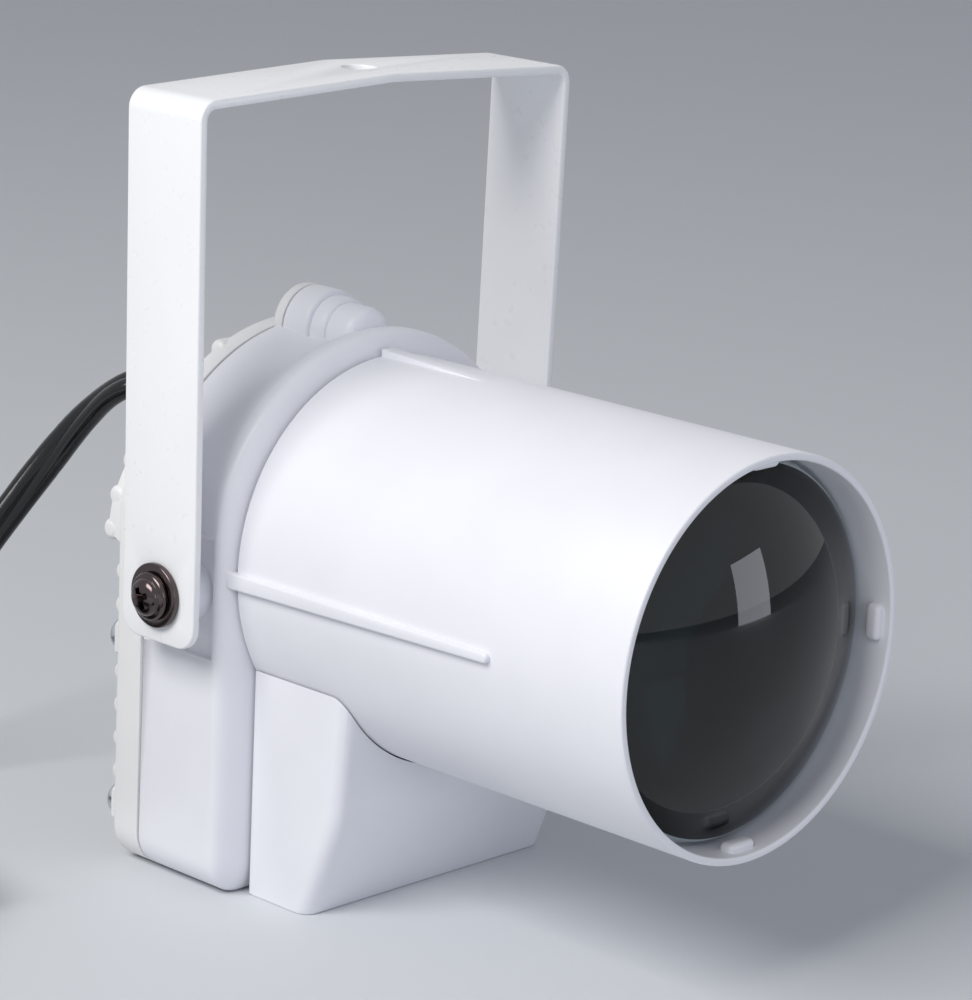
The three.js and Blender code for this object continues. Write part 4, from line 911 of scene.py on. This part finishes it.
# Moulded PVC: duller than the extruded sheath, from the mould's etched face.
moulded_pvc = add_grain(add_finish("moulded_black_pvc", IOR=1.53), 0.8 * mm, 0.02 * mm,
                        ("#101012", "#161618"), (0.38, 0.5))
settle(moved(relief, z=grip_height), "tapered_strain_relief", [moulded_pvc], "cord_sheath", "strain_relief")

# Coil tie: a short black band of hook-and-loop tape, wrapped round all the turns.
tie_turn = -0.1 * 2 * math.pi
tie_inner = 22.2 * mm
tie_outer = 36.7 * mm
tie_foot = 0.6 * mm
tie_top = 12.5 * mm
tie_round = 1.5 * mm
tie_half = 2 * mm
tape = 0.5 * mm
tie = drawn_along_x([(tie_inner, tie_foot, tie_round), (tie_outer, tie_foot, tie_round),
                     (tie_outer, tie_top, tie_round), (tie_inner, tie_top, tie_round)], -tie_half, tie_half)
end_faces = [face for face in tie.faces if abs(face.normal.x) > 0.9]
bmesh.ops.delete(tie, geom=end_faces, context="FACES")
bmesh.ops.solidify(tie, geom=tie.faces[:], thickness=-tape)
moved(rotated(tie, tie_turn - math.pi / 2, "Z"), coil_centre.x, coil_centre.y)
bmesh.ops.recalc_face_normals(tie, faces=tie.faces)
# Woven loop pile: dull and rough, with a coarse nap.
tie_tape = add_grain(add_finish("black_loop_tape"), 0.5 * mm, 0.25 * mm, ("#121214", "#1c1c1f"), (0.7, 0.9))
tie_piece = settle(tie, "loop_tape_tie", [tie_tape], "black_sleeve", "cord_tie")

# Plug: a flat two-pin plug of moulded black PVC, with finger grooves on both faces and round
# nickel-plated pins that are sleeved for their first half.
plug_x = coil_centre.x - coil_outer + tail_shift
plug_back = coil_centre.y - tail_length - 0.3 * mm
neck_foot = plug_back - 9 * mm
neck_end = plug_back + 1.1 * mm
plug_face = neck_foot - 36 * mm
plug_widths = [(13 * mm, plug_face), (17.65 * mm, plug_face + 13 * mm), (5.5 * mm, neck_foot)]
plug_corner = 2.4 * mm
plug_rim_round = 1.6 * mm
grip_radius = 0.9 * mm
grip_length = 15 * mm
grip_start = neck_foot - 7 * mm
grip_pitch = 3.4 * mm
grip_count = 4
neck_radius = 3.6 * mm
neck_taper = 0.15 * mm
neck_rings = 4
neck_groove = 0.4 * mm
plug = bmesh.new()
corners = [plug.verts.new((plug_x + x, y, 0)) for x, y in plug_widths]
corners += [plug.verts.new((plug_x - x, y, 0)) for x, y in reversed(plug_widths)]
plug.faces.new(corners)
bmesh.ops.bevel(plug, geom=corners, offset=plug_corner, segments=6, profile=0.5, affect="VERTICES",
                material=-1)
extruded(plug, (0, 0, 2 * plug_height))
rims = [edge for edge in plug.edges if abs(edge.verts[0].co.z - edge.verts[1].co.z) < on_axis]
softened(plug, rims, plug_rim_round, 5)
for i in range(grip_count):
    for level in (0, 2 * plug_height):
        groove = bmesh.new()
        bmesh.ops.create_cone(groove, cap_ends=True, segments=20, radius1=grip_radius,
                              radius2=grip_radius, depth=grip_length)
        rotated(groove, math.pi / 2, "Y")
        plug = carved(plug, moved(groove, plug_x, grip_start - grip_pitch * i, level))
neck = turned([
    (0, neck_foot - mm), (neck_radius, neck_foot - mm),
    *ringed(neck_foot, (neck_end - neck_foot) / (2 * neck_rings),
            [neck_radius - neck_taper * i for i in range(neck_rings)], neck_groove),
    (0, neck_end)], 48)
plug_piece = settle(gathered(plug, moved(neck, x=plug_x, z=plug_height)), "two_pin_plug", [moulded_pvc],
                    "plug_black", "plug_body")
# Nickel plate on brass: pale, slightly warm, polished.
nickel = add_grain(add_finish("nickel_plated_brass", Metallic=1.0), 0.4 * mm, 0.005 * mm,
                   ("#c9c6be", "#d3d0c9"), (0.16, 0.26))
pin_root = plug_face + 1.7 * mm
pin_tip = plug_face - 19 * mm
sleeve_tip = plug_face - 10 * mm
pin_radius = 2 * mm
pin_sleeve = 1.95 * mm
pin_neck = 1.8 * mm
pin_notch = 0.4 * mm
pin_sleeve_round = 0.1 * mm
pin_tip_round = mm
pin_offset = 9.3 * mm
for i, side in enumerate((-1, 1)):
    pin = turned([(0, pin_root), (pin_sleeve, pin_root), (pin_sleeve, sleeve_tip, pin_sleeve_round),
                  (pin_neck, sleeve_tip - pin_notch / 2), (pin_radius, sleeve_tip - pin_notch),
                  (pin_radius, pin_tip, pin_tip_round), (0, pin_tip)], 40)
    for face in pin.faces:
        face.material_index = int(face.calc_center_median().y > sleeve_tip - pin_notch / 4)
    settle(moved(pin, x=plug_x + side * pin_offset, z=plug_height), f"round_pin_{i + 1}",
                       [nickel, moulded_pvc], "plated_pin", f"plug_pin_{i + 1}")

# Pieces inside the housing, which stay as the CAD has them: the heat sink, the lamp, the driver
# and its wires, the screws that hold them and the captive nuts of the pivots.
inner_finishes = {"black_wire": cord_pvc, "zinc_steel": zinc}
for slot, name, sockets, size, depth, tones, roughness in (
        ("bare_aluminium", "extruded_aluminium", {"Metallic": 1.0}, 0.5, 0.02,
         ("#b4b7bb", "#c2c5c8"), (0.38, 0.5)),
        ("lamp_board", "white_solder_mask", {}, 0.6, 0.01, ("#e6e6e0", "#efefe9"), (0.4, 0.5)),
        ("phosphor", "yellow_phosphor_resin", {"Coat_Weight": 0.6}, 0.2, 0.01,
         ("#e3bf3a", "#edcc4e"), (0.25, 0.35)),
        ("circuit_board", "green_solder_mask", {"Coat_Weight": 0.3}, 0.8, 0.02,
         ("#26613c", "#2f6f46"), (0.35, 0.45)),
        ("winding_tape", "yellow_winding_tape", {}, 0.7, 0.02, ("#cfa72c", "#dcb53a"), (0.3, 0.45)),
        ("black_sleeve", "black_shrink_sleeve", {}, 0.5, 0.01, ("#161618", "#1e1e21"), (0.3, 0.4)),
        ("brown_wire", "brown_pvc_sleeve", {}, 0.6, 0.01, ("#74452a", "#7d4c2e"), (0.35, 0.45)),
        ("blue_wire", "blue_pvc_sleeve", {}, 0.6, 0.01, ("#2b5aa4", "#3163b0"), (0.35, 0.45)),
        ("red_wire", "red_pvc_sleeve", {}, 0.6, 0.01, ("#ab2219", "#b52a20"), (0.35, 0.45)),
        ("brass", "turned_brass", {"Metallic": 1.0}, 0.4, 0.01, ("#c2a052", "#cdab5e"), (0.25, 0.38))):
    inner_finishes[slot] = add_grain(add_finish(name, **sockets), size * mm, depth * mm, tones, roughness)
for part in frame["record"]["subparts"]:
    finish = inner_finishes.get(part["material_slot"])
    if finish:
        for material_slot in frame["nodes"][part["node"]].material_slots:
            material_slot.material = finish

# Studio: a pale floor that keeps the shadow, a pale surround that only the camera, glass and
# metal see, and three soft lamps: a large one from the left, a fill and a low one from the front.
floor_half = 6
floor_shape = bmesh.new()
bmesh.ops.create_grid(floor_shape, x_segments=1, y_segments=1, size=floor_half)
floor_mesh = bpy.data.meshes.new("floor")
floor_shape.to_mesh(floor_mesh)
floor_shape.free()
floor = bpy.data.objects.new("floor", floor_mesh)
bpy.context.scene.collection.objects.link(floor)
floor_mesh.materials.append(add_finish("matt_pale_floor", Base_Color=linear("#d3d6da"), Roughness=0.7))

world = bpy.data.worlds.new("studio")
bpy.context.scene.world = world
world.use_nodes = True
sky = world.node_tree.nodes["Background"]
sky.inputs["Color"].default_value = linear("#e8ecf4")
sky.inputs["Strength"].default_value = 0.36
surround = add_node(world, "ShaderNodeBackground", {"Color": linear("#d9dce0"), "Strength": 0.9})
rays = add_node(world, "ShaderNodeLightPath", {}).outputs
seen = add_node(world, "ShaderNodeMath", {0: rays["Is Camera Ray"], 1: rays["Is Transmission Ray"]},
                operation="MAXIMUM")
seen = add_node(world, "ShaderNodeMath", {0: seen.outputs[0], 1: rays["Is Glossy Ray"]},
                operation="MAXIMUM")
either = add_node(world, "ShaderNodeMixShader", {
    0: seen.outputs[0], 1: sky.outputs[0], 2: surround.outputs[0]})
world.node_tree.links.new(either.outputs[0], world.node_tree.nodes["World Output"].inputs["Surface"])

for name, place, aim, size, watts, colour in (
        ("key", (-0.78, -0.02, 0.78), (0, -0.02, 0.06), (0.7, 0.5), 9.2, "#fffdfa"),
        ("front", (-0.3, -0.95, 0.25), (0, -0.04, 0.05), (0.3, 0.4), 0.7, "#e6ecfc"),
        ("low", (0.5, -0.75, 0.1), (0, -0.04, 0.05), (0.22, 0.3), 0.6, "#eef2fd")):
    light = bpy.data.lights.new(name, "AREA")
    light.shape = "RECTANGLE"
    light.size, light.size_y = size
    light.energy = watts
    light.color = linear(colour)[:3]
    lamp = bpy.data.objects.new(name, light)
    lamp.location = place
    lamp.rotation_euler = (Vector(aim) - Vector(place)).to_track_quat("-Z", "Y").to_euler()
    bpy.context.scene.collection.objects.link(lamp)

bpy.context.scene.view_settings.view_transform = "Standard"
